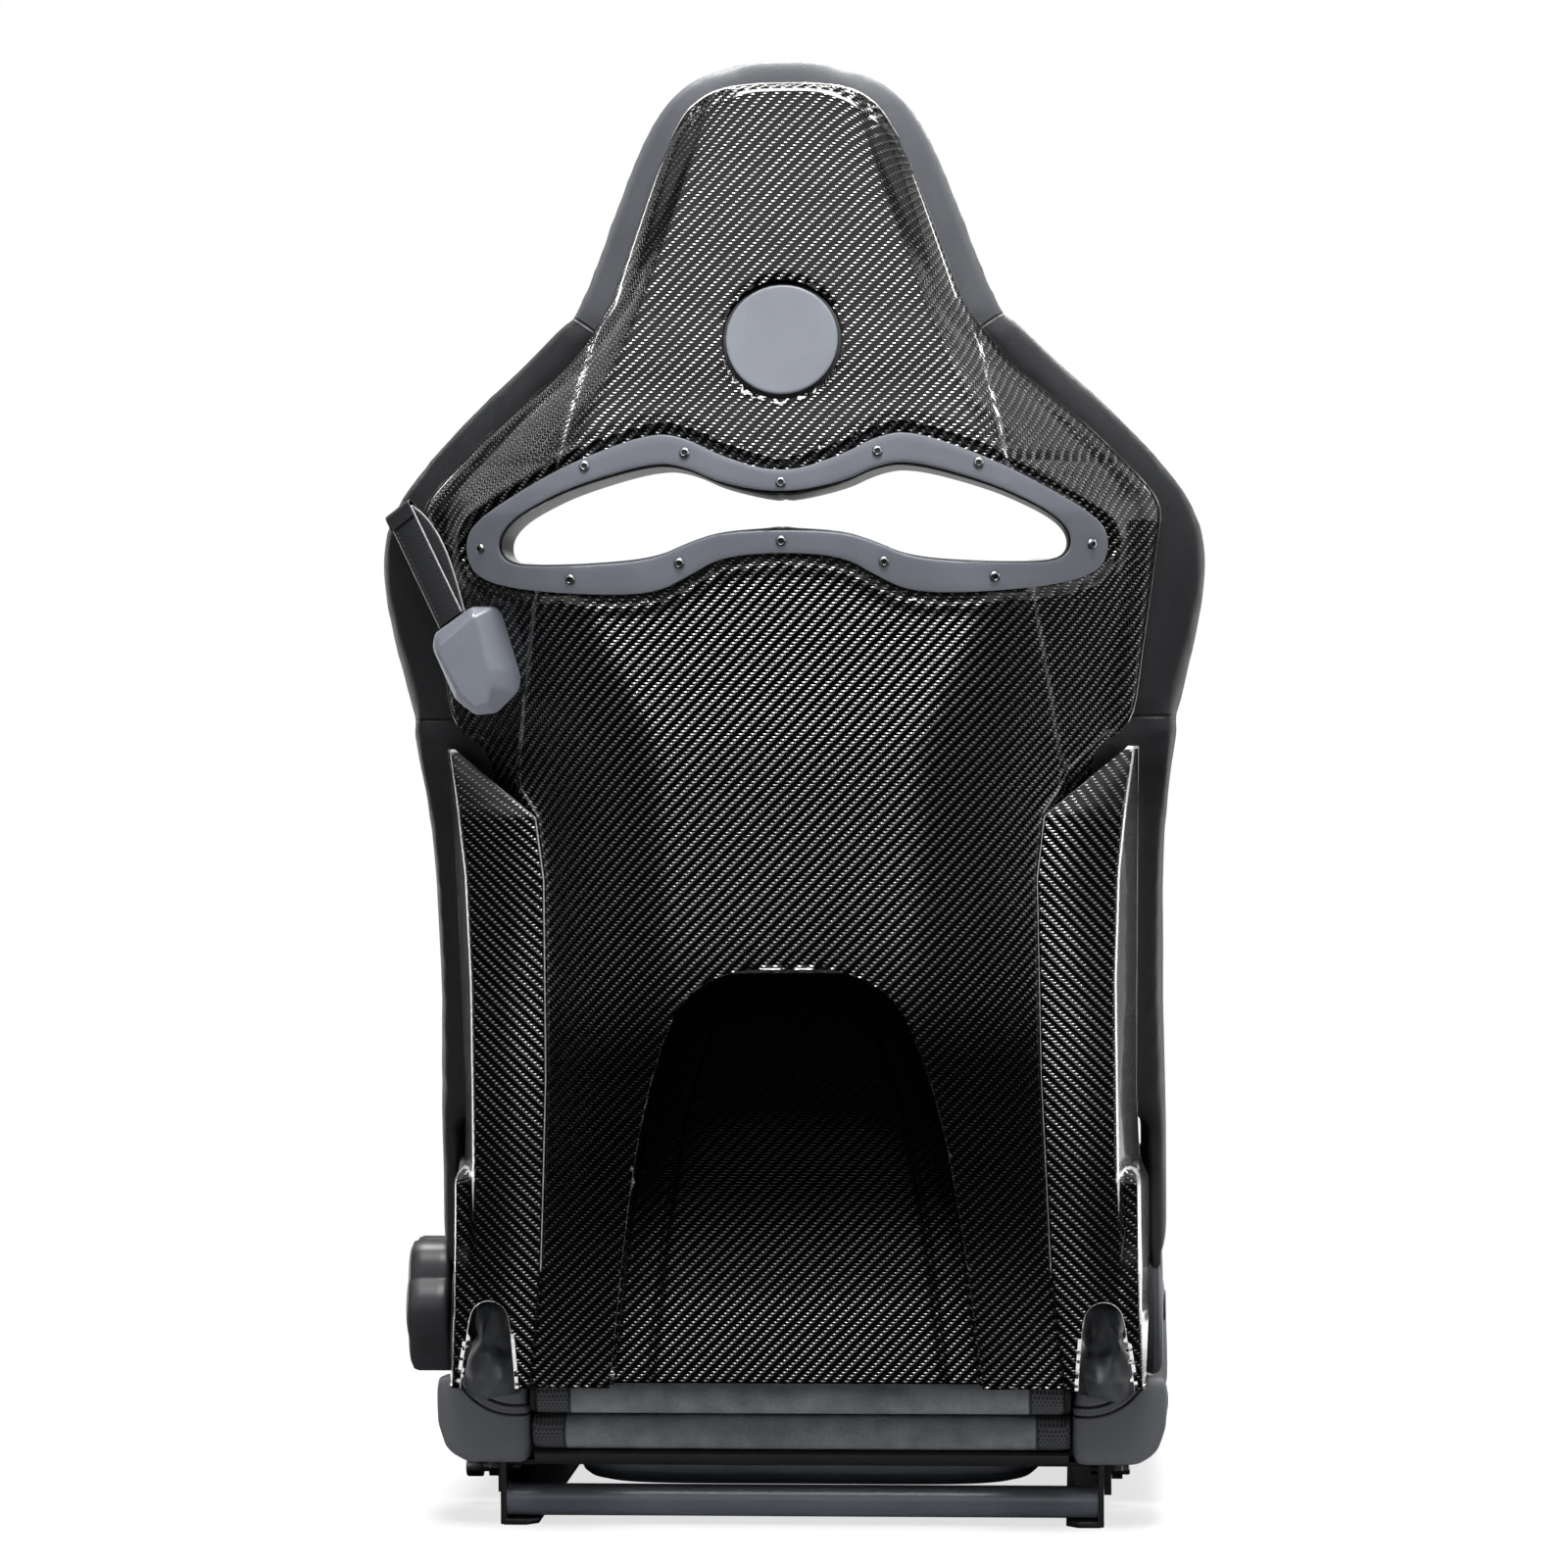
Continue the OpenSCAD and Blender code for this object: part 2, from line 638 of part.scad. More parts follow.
module sync_shaft() {
    color(zinc)
        axle_disc(-knob_x - 14, fitting_x + 14, shaft_d / 2);
}

module knob_escutcheon() {
    color(steel)
        side(false)
            difference() {
                axle_disc(cover_x + cover_t + turn_gap, knob_x - 1.5, cover_r - 2);
                axle_disc(cover_x + cover_t, knob_x, shaft_d / 2 + 1);
            }
}

module pivot_cap_right() {
    color(steel)
        difference() {
            union() {
                axle_disc(cover_x + 2, cover_x + 15, 11);
                axle_disc(cover_x + 2, cover_x + cover_t, boss_d / 2 + 1.5 - seat_gap);
            }
            axle_disc(cover_x + 9, cover_x + 16, 6);
        }
}

// ---------------------------------------------------------------- strap and handle

// The doubled strap slides out of a sleeve on the shoulder leather, down to the handle
strap_slope = 27.7;
strap_turn = 20;
strap_len = 84;
strap_top = [-264 * kx - (strap_w - 20) / 2, -298, high(698)];
handle_tilt = 19;
handle_turn = 30;
handle_run = [56, -103];        // from the top of the strap to the handle, across and down
handle_reach = 128.647;         // the same along the strap
handle_off = 17.855;            // from the shell's face to the middle of the handle
handle_y = shell_y((strap_top.x + handle_run.x) / kx,
    145 + (strap_top.z + handle_run.y - pivot_z) / kz) - handle_off;
handle_spot = [strap_top.x + handle_run.x, handle_y, strap_top.z + handle_run.y];
strap_lean = asin((strap_top.y - handle_y) / handle_reach);
handle_corners = [[-16, 26], [16, 28], [-15, -14], [15, -16], [-6, -29], [8, -27]];
fold_r = strap_t + 0.6;

module strap_frame() {
    translate(strap_top)
        rotate([0, -strap_slope, 0])
            rotate([-strap_lean, 0, 0])
                rotate([0, 0, -strap_turn])
                    children();
}

module pull_strap() {
    color(leather)
        strap_frame() {
            for (y = [-fold_r, fold_r - strap_t])
                translate([-strap_w / 2, y, -strap_len])
                    cube([strap_w, strap_t, strap_len - 5]);
            translate([-strap_w / 2, 0, -5])
                rotate([0, 90, 0])
                    cylinder(h = strap_w, r = fold_r, $fn = 32);
        }
}

module strap_sleeve() {
    wall = 1.4;
    depth = 2 * fold_r + 2 * seat_gap;
    width = strap_w + 2 * seat_gap;
    color(leather)
        strap_frame()
            difference() {
                translate([-width / 2 - wall, -depth / 2 - wall, -16])
                    cube([width + 2 * wall, depth + 2 * wall, 16 + wall]);
                translate([-width / 2, -depth / 2, -17])
                    cube([width, depth, 16]);
            }
}

module pull_handle() {
    color(satin)
        translate(handle_spot)
            rotate([0, -handle_tilt, 0])
                rotate([0, 0, -handle_turn])
                    difference() {
                        hull()
                            for (spot = handle_corners)
                                translate([spot.x, 0, spot.y])
                                    rotate([90, 0, 0])
                                        cylinder(h = 20, r = 7, center = true, $fn = 24);
                        translate([-22, -4, 18])
                            cube([24, 9, 30]);
                    }
}

// ---------------------------------------------------------------- base

module side_plate(right) {
    flange = 26;
    color(steel)
        side(right)
            difference() {
                union() {
                    translate([web_x - plate_t, plate_y[0], 0])
                        cube([plate_t, plate_y[1] - plate_y[0], 58]);
                    translate([web_x - flange, plate_y[0], 0])
                        cube([flange, plate_y[1] - plate_y[0], plate_t]);
                }
                for (s = [-1, 1])
                    translate([hole_x, s * hole_pitch_y / 2, -1])
                        cylinder(h = plate_t + 2, d = hole_d, $fn = 48);
                for (spot = bolt_spots)
                    axle_disc(web_x - plate_t - 1, web_x + 1, 4 + bolt_gap, spot.x, spot.y);
            }
}

module crossbar(y) {
    reach = web_x - plate_t;
    color(steel)
        axle_disc(-reach, reach, bar_d / 2, y, bar_z);
}

module seat_pan() {
    reach = web_x - plate_t - 0.5;
    color(steel)
        translate([-reach, -216, pan_z - 3])
            cube([2 * reach, 420, 3]);
}

module tray_block(shrink) {
    hull() {
        translate([-168 * kx + shrink, -185 + shrink, pan_z - 13])
            cube([336 * kx - 2 * shrink, 340 - 2 * shrink, 9.9 + shrink]);
        translate([-154 * kx + shrink, -172 + shrink, 27 - 8 + shrink])
            cube([308 * kx - 2 * shrink, 314 - 2 * shrink, 1]);
    }
}

module under_tray() {
    color(steel)
        difference() {
            tray_block(0);
            tray_block(2.5);
        }
}

cushion_top = [[-204, 104], [-190, 112], [-100, 114], [0, 122], [150, 134], [204, 136]];

module cushion_center() {
    w = pad_w * kx - soft_gap / 2;
    color(suede)
        translate([-w, 0, 0])
            rotate([90, 0, 90])
                linear_extrude(2 * w)
                    polygon(concat([[-204, pan_z], [-204, 96]],
                        [for (p = cushion_top) if (p.x > -204) p], [[204, pan_z]]));
}

module cushion_nose() {
    w = pad_w * kx - soft_gap / 2;
    color(leather)
        translate([-w, 0, 0])
            rotate([90, 0, 90])
                linear_extrude(2 * w)
                    polygon(concat([[204 + soft_gap, 56], [204 + soft_gap, 136]],
                        [for (a = [80:-20:-80]) [262 + 38 * cos(a), 97 + 38 * sin(a)]]));
}

// Cushion bolster: block in front of the hinge, side skirt beside it, corner behind it
skirt_top = [[-243, 96], [-238, 102], [-200, 100], [-190, 92], [-112, 92], [-86, 108], [-40, 138],
    [40, 158], [150, 166], [220, 160], [262, 140], [284, 104], [284, 76], [262, 54], [204, 43.5],
    [-236, 43.5], [-243, 52]];
pocket_x = 202 * kx;
skirt_x = 250 * kx;

module cushion_bolster(right) {
    inner_x = pad_w * kx + soft_gap / 2;
    color(leather)
        side(right)
            difference() {
                intersection() {
                    translate([inner_x, 0, 0])
                        rotate([90, 0, 90])
                            linear_extrude(skirt_x - inner_x)
                                polygon(skirt_top);
                    translate([0, 300, 0])
                        rotate([90, 0, 0])
                            linear_extrude(600)
                                polygon([[inner_x - 1, 40], [skirt_x - 30, 40], [skirt_x - 14, 46],
                                    [skirt_x - 5, 55], [skirt_x, 68], [skirt_x, 140],
                                    [skirt_x - 5, 153], [skirt_x - 16, 163], [skirt_x - 32, 170],
                                    [inner_x - 1, 170]]);
                }
                translate([pocket_x, -208, 0])
                    cube([238 * kx - pocket_x, 104, 200]);
                translate([0, -300, 0])
                    cube([roll_w + soft_gap, 300 + roll_front, 200]);
                translate([web_x - plate_t - 1, -300, 0])
                    cube([plate_t + 2, 505, 59]);
            }
}

// The two rolls at the back of the cushion: a flat front against the cushion, a round back
roll_w = 186 * kx;
roll_front = -204.6;
module roll(low, top, back) {
    r = (top - low) / 2;
    color(suede)
        translate([-roll_w, 0, 0])
            rotate([90, 0, 90])
                linear_extrude(2 * roll_w)
                    polygon(concat([[roll_front, low], [roll_front, top]],
                        [for (a = [90:15:270]) [back + r + r * cos(a), (low + top) / 2 + r * sin(a)]]));
}

module rear_upper_roll() {
    roll(78.4, 102, -247);
}

module rear_lower_roll() {
    roll(52.4, 77.8, -238);
}

module rear_trim_strip() {
    w = 184 * kx;
    color(steel)
        translate([-w, -234, pan_z])
            cube([2 * w, 28, 9]);
}

module hinge_boot(right) {
    color(leather)
        side(right)
            hull() {
                translate([203 * kx, -264, 102.6])
                    cube([20 * kx, 40, 40]);
                translate([206 * kx, -260, 102.6])
                    cube([14 * kx, 30, 58]);
            }
}

back_shell();
lower_center_panel();
side_cover(false);  // side_cover_left
side_cover(true);  // side_cover_right
badge_disc();
slot_bezel();
bezel_screws();
slot_liner();
headrest_pad();
slot_pad();
torso_pad();
shoulder_pad(false);  // shoulder_pad_left
shoulder_pad(true);  // shoulder_pad_right
torso_bolster(false);  // torso_bolster_left
torso_bolster(true);  // torso_bolster_right
frame_upright(false);  // frame_upright_left
frame_upright(true);  // frame_upright_right
frame_lower_bar();
frame_upper_bar();
shell_posts();
lumbar_panel();
hinge_arm(false);  // hinge_arm_left
hinge_arm(true);  // hinge_arm_right
release_cable();
strap_sleeve();
recliner_fitting(false);  // recliner_fitting_left
recliner_fitting(true);  // recliner_fitting_right
release_pawl();
pull_handle();
pull_strap();
recliner_knob();
sync_shaft();
side_plate(false);  // side_plate_left
side_plate(true);  // side_plate_right
crossbar(bar_y[0]);  // rear_crossbar
crossbar(bar_y[1]);  // front_crossbar
seat_pan();
under_tray();
cushion_center();
cushion_nose();
cushion_bolster(false);  // cushion_bolster_left
cushion_bolster(true);  // cushion_bolster_right
rear_upper_roll();
rear_lower_roll();
rear_trim_strip();
hinge_base(false);  // hinge_base_left
hinge_base(true);  // hinge_base_right
hinge_cover(false);  // hinge_cover_left
hinge_cover(true);  // hinge_cover_right
knob_escutcheon();
pivot_cap_right();
hinge_bolts();
hinge_boot(false);  // hinge_boot_left
hinge_boot(true);  // hinge_boot_right
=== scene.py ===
"""Reclining sports seat with a moulded carbon back shell, built around its packed frame."""
import json
import math

import bmesh
import bpy
import numpy as np
from mathutils import Matrix, Vector
from mathutils.bvhtree import BVHTree

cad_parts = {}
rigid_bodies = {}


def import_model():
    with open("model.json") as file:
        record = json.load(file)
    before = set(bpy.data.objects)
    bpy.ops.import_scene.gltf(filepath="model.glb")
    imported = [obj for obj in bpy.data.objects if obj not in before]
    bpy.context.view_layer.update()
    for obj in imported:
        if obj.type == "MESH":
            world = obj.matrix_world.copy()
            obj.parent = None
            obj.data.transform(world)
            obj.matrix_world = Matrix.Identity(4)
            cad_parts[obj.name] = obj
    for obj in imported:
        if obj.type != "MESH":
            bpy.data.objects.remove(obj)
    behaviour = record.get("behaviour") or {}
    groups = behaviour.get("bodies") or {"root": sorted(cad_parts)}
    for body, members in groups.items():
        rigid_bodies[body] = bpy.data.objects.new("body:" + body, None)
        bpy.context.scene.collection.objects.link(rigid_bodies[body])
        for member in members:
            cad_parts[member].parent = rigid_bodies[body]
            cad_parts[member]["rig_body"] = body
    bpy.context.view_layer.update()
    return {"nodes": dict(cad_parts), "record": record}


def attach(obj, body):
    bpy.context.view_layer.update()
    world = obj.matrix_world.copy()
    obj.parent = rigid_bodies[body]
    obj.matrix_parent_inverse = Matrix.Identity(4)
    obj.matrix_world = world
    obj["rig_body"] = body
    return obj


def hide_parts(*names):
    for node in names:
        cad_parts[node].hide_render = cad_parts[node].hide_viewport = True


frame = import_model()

bl_info = {
    "name": "Reclining Sports Seat",
    "version": (1, 0, 0),
    "blender": (4, 5, 0),
    "location": "View3D > Sidebar > Seat",
    "description": "Builds a reclining sports seat with a carbon shell around its packed frame",
    "category": "Object",
}

MM = 0.001
SIDES = {"left": -1, "right": 1}
SLOT_OF = {part["node"]: part["material_slot"] for part in frame["record"]["subparts"]}

# ------------------------------------------------------------------ shape of the seat, in mm

# the recliner's axis in Y and Z
PIVOT = (-160.0, 145.0)
# the back shell by height: half width, half width of its flat middle, Y of the middle and of
# the rim, and how late the flanks bend
SHELL_EDGE = [[102, 184], [360, 188], [500, 200], [560, 231], [695, 250], [709, 242], [748, 203],
              [769, 178], [794, 148], [831, 118.5], [883, 99], [925, 83], [941, 75], [985, 74]]
SHELL_FLAT = [[102, 70], [540, 80], [640, 130], [691, 150], [743, 128], [817, 97], [897, 68],
              [977, 44]]
SHELL_MID_Y = [[102, -281], [240, -308], [389, -340], [540, -368], [691, -384], [760, -377],
               [804, -365], [900, -354], [966, -342], [980, -339]]
SHELL_RIM_Y = [[102, -278], [240, -280], [389, -290], [540, -298], [695, -300], [769, -312],
               [831, -324], [908, -332], [966, -336], [980, -334]]
SHELL_BEND = [[640, 1.7], [740, 1.35], [966, 1.25]]
SPINE, SPINE_W = 3.0, 110.0
SHELL_FOOT, SHELL_TOP = 102, 977
# the round top edge: how far it falls towards the sides, its half width and its power
TOP_DROP, TOP_HALF, TOP_POWER = 36.5, 74.0, 2.8
# from this height the rows of the shell bend over to follow it
TOP_BEND_Z = 830
# openings by X: lower and upper edge of the slot and of the bezel round it
SLOT_ROWS = [[0, 678.5, 702], [40, 677, 709], [62, 670, 720], [85, 659.5, 723.5],
             [133, 656, 710], [165, 656, 696], [182, 658, 686], [190, 665, 676]]
BEZEL_ROWS = [[0, 664, 714.5], [40, 661, 727], [62, 648, 739], [85, 637, 743], [133, 637, 726],
              [180, 642, 702], [205, 650, 687], [213, 662, 677]]
SCREW_SPOTS = [[0, 709], [63, 729], [129, 721], [202, 669], [139, 647], [67, 657], [0, 671]]
# the arch by height: half width
ARCH_ROWS = [[100, 127], [144, 122], [212, 114], [294, 100], [351, 81], [372, 67], [384, 48],
             [389, 30]]
# the side covers by height: X of the inner edge, the fold and the outer edge, Y of the last two
COVER_IN_X = [[102, 180], [178, 172], [314, 166], [448, 164], [490, 169], [515, 200], [536, 226]]
COVER_FOLD_X = [[102, 219], [260, 217.6], [379, 216.5], [452, 219], [494, 223.5], [530, 228.7],
                [536, 229.5]]
COVER_OUT_X = [[102, 236], [150, 239], [180, 240], [238, 240], [254, 234], [300, 232], [536, 233.5]]
COVER_FOLD_Y = [[102, -284], [200, -284], [250, -290], [389, -306], [490, -313], [536, -306]]
COVER_OUT_Y = [[102, -279], [112, -270], [130, -262], [147, -250], [156, -206], [240, -207],
               [389, -238], [500, -266], [536, -290]]
BADGE_Z, BADGE_HOLE_R = 804, 39.6
# how deep the badge and the bezel are let into the shell
BADGE_SEAT, BEZEL_SEAT = 1.0, 2.2
SLOT_MIDDLE = np.array([0, 684.0])
# sewn join of the headrest: where it turns at each side, and how steeply it climbs outwards
HEAD_SEAM_X, HEAD_SEAM_Z, HEAD_SEAM_RISE = 127.0, 814.0, 0.69
TORSO_SEAM_Z = 556.0
# half the width of the suede that the cross channels run over
CHANNEL_HALF = 136
# centre and radii of the seams round the rear corners of the seat, in X and Z
CORNER_X, CORNER_Z, CORNER_RX, CORNER_RZ = 196.0, 120.0, 44.0, 42.0
# added to a distance, this puts a seam out of reach
FAR_OFF = 400.0
LOOP_SPACING = 2.0
BOLT_Z, BAR_Z = 34, 16


def lookup(z, table):
    """The value at each z in a table of [z, value] rows"""
    table = np.array(table, float)
    return np.interp(z, table[:, 0], table[:, 1])


def ease(z, table, span=16):
    """The same with its corners softened over span on each side"""
    z = np.asarray(z, float)
    return (lookup(z - span, table) + 2 * lookup(z, table) + lookup(z + span, table)) / 4


def shell_w(z):
    """Half the width of the back shell"""
    return ease(z, SHELL_EDGE, 8)


def shell_y(x, z):
    """The plan shape of the back shell: a flat middle, bent flanks and a soft spine"""
    x, z = np.broadcast_arrays(np.asarray(x, float), np.asarray(z, float))
    width, flat = shell_w(z), ease(z, SHELL_FLAT)
    t = np.clip((np.abs(x) - flat) / (width - flat), 0, 1)
    bow = (ease(z, SHELL_RIM_Y) - ease(z, SHELL_MID_Y)) * t ** lookup(z, SHELL_BEND)
    return ease(z, SHELL_MID_Y) + bow - SPINE * (1 - np.minimum(1, np.abs(x) / SPINE_W) ** 1.4)


def step_up(value, low, high):
    """0 below low, 1 above high, smooth between"""
    t = np.clip((np.asarray(value, float) - low) / (high - low), 0, 1)
    return t * t * (3 - 2 * t)


def rounded(loop, rounds):
    """A closed loop with its corners cut off, finer in each round"""
    for _ in range(rounds):
        ahead = np.roll(loop, -1, axis=0)
        loop = np.stack([0.75 * loop + 0.25 * ahead, 0.25 * loop + 0.75 * ahead], 1).reshape(-1, 2)
    return loop


def closed_outline(rows):
    """A smooth closed loop of points round an opening given as [x, lower, upper] rows"""
    rows = np.array(rows, float)
    right = np.vstack([rows[:, [0, 1]], rows[::-1, [0, 2]]])
    left = (right * [-1, 1])[::-1]
    return resample(rounded(np.vstack([right, left[left[:, 0] < -0.01]]), 3))


def resample(loop, count=None):
    """The loop again at an even spacing, from the point nearest to far above the middle"""
    first = np.argmin(((loop - np.array([0, 1e4])) ** 2).sum(1))
    loop = np.roll(loop, -first, axis=0)
    ring = np.vstack([loop, loop[:1]])
    length = np.concatenate([[0], np.cumsum(np.linalg.norm(np.diff(ring, axis=0), axis=1))])
    count = count or int(length[-1] / LOOP_SPACING)
    at = np.linspace(0, length[-1], count, endpoint=False)
    return np.stack([np.interp(at, length, ring[:, k]) for k in (0, 1)], 1)


def outline_distance(points, loop):
    """Signed distance to a closed loop, negative inside, and the nearest point on it"""
    a, b = loop, np.roll(loop, -1, axis=0)
    ab = b - a
    best = np.full(len(points), 1e9)
    foot = points.copy()
    inside = np.zeros(len(points), bool)
    px, pz = points.T
    for (ax, az), (dx, dz) in zip(a, ab):
        t = np.clip(((px - ax) * dx + (pz - az) * dz) / (dx * dx + dz * dz), 0, 1)
        spot = np.stack([ax + t * dx, az + t * dz], 1)
        d = np.hypot(px - spot[:, 0], pz - spot[:, 1])
        near = d < best
        best[near] = d[near]
        foot[near] = spot[near]
        if dz:
            inside ^= ((az > pz) != (az + dz > pz)) & (px < ax + (pz - az) * dx / dz)
    return np.where(inside, -best, best), foot


SLOT_LOOP = closed_outline(SLOT_ROWS)
BEZEL_LOOP = closed_outline(BEZEL_ROWS)
ARCH_LOOP = closed_outline([[0, 60, 389]] + [[w, 60, z] for z, w in ARCH_ROWS[::-1]])
RING = np.linspace(0, 2 * math.pi, 97)[:-1]
BADGE_LOOP = np.stack([BADGE_HOLE_R * np.cos(RING), BADGE_Z + BADGE_HOLE_R * np.sin(RING)], 1)


def shell_face(x, z):
    """The shell's finished outer face, with the steps that take the bezel and the badge"""
    x, z = np.broadcast_arrays(np.asarray(x, float), np.asarray(z, float))
    y = shell_y(x, z)
    near = (np.abs(x) < 245) & (z > 610) & (z < 775)
    if near.any():
        d, _ = outline_distance(np.stack([x[near], z[near]], 1), BEZEL_LOOP)
        rise = np.zeros(x.shape)
        rise[near] = (BEZEL_SEAT * (1 - step_up(d, 3.0, 6.5))
                      - 2.0 * np.exp(-((d - 8.0) / 3.4) ** 2))
        y = y + rise
    d = np.hypot(x, z - BADGE_Z)
    return y + BADGE_SEAT * (1 - step_up(d, 40.2, 42.6))


# ------------------------------------------------------------------ modelling helpers

def index(u, count):
    """The grid column or row at u from -1 to 1, counted from 0"""
    return np.rint((u + 1) / 2 * count).astype(int)


def squarish(wave, power):
    """A sine or cosine pushed outwards, so that a round turns into a rounded rectangle"""
    return np.sign(wave) * np.abs(wave) ** power


def sheet(across, along, place):
    """A grid laid over a surface: place turns two arrays from -1 to 1 into points in mm.
    Each vertex keeps its place on the cloth in the attribute called weave: its distance
    across and along, and how far it is from the sides and the top edge."""
    bm = bmesh.new()
    weave = bm.verts.layers.float_vector.new("weave")
    bmesh.ops.create_grid(bm, x_segments=across, y_segments=along, size=1)
    flat = np.array([v.co[:2] for v in bm.verts])
    spots = np.asarray(place(flat[:, 0], flat[:, 1]), float)
    col, row = index(flat[:, 0], across), index(flat[:, 1], along)
    grid = np.zeros((along + 1, across + 1, 3))
    grid[row, col] = spots
    u = np.cumsum(np.pad(np.linalg.norm(np.diff(grid, axis=1), axis=2), ((0, 0), (1, 0))), axis=1)
    middle = across // 2
    v = np.cumsum(np.pad(np.linalg.norm(np.diff(grid[:, middle], axis=0), axis=1), (1, 0)))
    edge = np.minimum(np.minimum(u, u[:, -1:] - u), (v[-1] - v)[:, None])
    u = u - u[:, [middle]]
    for vert, spot, i, j in zip(bm.verts, spots, col, row):
        vert.co = Vector(spot) * MM
        vert[weave] = (u[j, i], v[j], edge[j, i])
    return bm


def tube(around, along, place, closed=True):
    """A sheet whose two sides meet, joined there, with its open ends filled"""
    bm = sheet(around, along, place)
    bmesh.ops.remove_doubles(bm, verts=bm.verts, dist=1e-6)
    if closed:
        bmesh.ops.holes_fill(bm, edges=[e for e in bm.edges if e.is_boundary], sides=0)
    bmesh.ops.recalc_face_normals(bm, faces=bm.faces)
    return bm


def lathe(profile, axis="X", centre=(0, 0, 0), steps=64):
    """A turned part: the profile is [distance along the axis, radius] in mm"""
    bm = bmesh.new()
    chain = [bm.verts.new(Vector((a, r, 0)) * MM) for a, r in profile]
    edges = [bm.edges.new(pair) for pair in zip(chain, chain[1:])]
    bmesh.ops.spin(bm, geom=chain + edges, axis=(1, 0, 0), cent=(0, 0, 0), steps=steps,
                   angle=2 * math.pi, use_merge=True)
    bmesh.ops.remove_doubles(bm, verts=bm.verts, dist=1e-7)
    bmesh.ops.recalc_face_normals(bm, faces=bm.faces)
    if axis == "Z":
        bmesh.ops.rotate(bm, verts=bm.verts, matrix=Matrix.Rotation(-math.pi / 2, 3, "Y"))
    bmesh.ops.translate(bm, verts=bm.verts, vec=Vector(centre) * MM)
    return bm


def cut(bm, loop, face):
    """Opens a sheet along a closed outline in X and Z. The nearest vertices move onto the
    outline and stay on the surface that face gives."""
    verts = list(bm.verts)
    weave = bm.verts.layers.float_vector["weave"]
    spots = np.array([(v.co.x, v.co.z) for v in verts]) / MM
    low, high = loop.min(0) - 12, loop.max(0) + 12
    near = np.where(((spots > low) & (spots < high)).all(1))[0]
    side = np.ones(len(verts), int)
    d, foot = outline_distance(spots[near], loop)
    ys = face(foot[:, 0], foot[:, 1])
    for k, i in enumerate(near):
        vert = verts[i]
        reach = max(e.calc_length() for e in vert.link_edges) / MM
        if abs(d[k]) <= 0.51 * reach:
            x, z = foot[k]
            # the edge distance drops to 0 on the outline, so the cut edge can take the painted rim
            # highlight
            vert[weave] += Vector((x - vert.co.x / MM, z - vert.co.z / MM, -vert[weave].z))
            vert.co = Vector((x, ys[k], z)) * MM
            side[i] = 0
        elif d[k] < 0:
            side[i] = -1
    bm.verts.index_update()
    gone = []
    for f in list(bm.faces):
        marks = [side[v.index] for v in f.verts]
        if min(marks) == 0 == max(marks):
            mid = f.calc_center_median() / MM
            if outline_distance(np.array([[mid.x, mid.z]]), loop)[0][0] < 0:
                gone.append(f)
        elif min(marks) < 0:
            if max(marks) > 0:
                on = [v for v in f.verts if side[v.index] == 0]
                if len(on) == 2 and len(marks) == 4:
                    part = bmesh.utils.face_split(f, on[0], on[1])[0]
                    for piece in (f, part):
                        if min(side[v.index] for v in piece.verts) < 0:
                            gone.append(piece)
                continue
            gone.append(f)
    bmesh.ops.delete(bm, geom=list(set(gone)), context="FACES")


def extruded(points, low, high, bevel, axis="X"):
    """A flat outline in mm pulled from low to high along the axis, its edges rounded. Points
    are (Y, Z) for X and (X, Y) for Z."""
    bm = bmesh.new()
    spots = [(low, a, b) if axis == "X" else (a, b, low) for a, b in points]
    face = bm.faces.new([bm.verts.new(Vector(spot) * MM) for spot in spots])
    out = bmesh.ops.extrude_face_region(bm, geom=[face])
    move = Vector([(high - low) * (axis == name) for name in "XYZ"]) * MM
    bmesh.ops.translate(bm, verts=[g for g in out["geom"] if isinstance(g, bmesh.types.BMVert)],
                        vec=move)
    bmesh.ops.recalc_face_normals(bm, faces=bm.faces)
    bmesh.ops.bevel(bm, geom=bm.edges[:], offset=bevel * MM, segments=3, profile=0.5,
                    affect="EDGES", material=-1, clamp_overlap=True)
    return bm


def join(*parts):
    """Several bmeshes put into the first"""
    whole = parts[0]
    for part in parts[1:]:
        mesh = bpy.data.meshes.new("part")
        part.to_mesh(mesh)
        part.free()
        whole.from_mesh(mesh)
        bpy.data.meshes.remove(mesh)
    return whole


def flip_side(bm, sign):
    """Mirrors a right-hand part for the left"""
    if sign < 0:
        bmesh.ops.scale(bm, verts=bm.verts, vec=(-1, 1, 1))
        bmesh.ops.reverse_faces(bm, faces=bm.faces)
    return bm


def new_object(name, bm):
    """The mesh as an object in the scene"""
    mesh = bpy.data.meshes.new(name)
    bm.to_mesh(mesh)
    bm.free()
    item = bpy.data.objects.new(name, mesh)
    bpy.context.scene.collection.objects.link(item)
    return item


def place_of(node):
    """The body and the material slot of a CAD node"""
    return {"body": frame["nodes"][node]["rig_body"], "slot": SLOT_OF[node]}


def make(name, bm, material, nodes=(), body=None, slot=None, smooth=35):
    """The finished piece: riding on a body and, where it stands for CAD nodes, replacing them"""
    piece = new_object(name, bm)
    mesh = piece.data
    mesh.materials.append(material)
    mesh.shade_smooth()
    if smooth < 180:
        mesh.set_sharp_from_angle(angle=math.radians(smooth))
    nodes = [nodes] if isinstance(nodes, str) else list(nodes)
    if nodes:
        body = body or frame["nodes"][nodes[0]]["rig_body"]
        slot = slot or SLOT_OF[nodes[0]]
    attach(piece, body)
    if nodes:
        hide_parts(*nodes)
    return piece


def round_edges(piece, width, segments, angle=50):
    """A live bevel on the edges that turn by more than an angle in degrees"""
    edge = piece.modifiers.new("Edge", "BEVEL")
    edge.width = width * MM
    edge.segments = segments
    edge.limit_method = "ANGLE"
    edge.angle_limit = math.radians(angle)


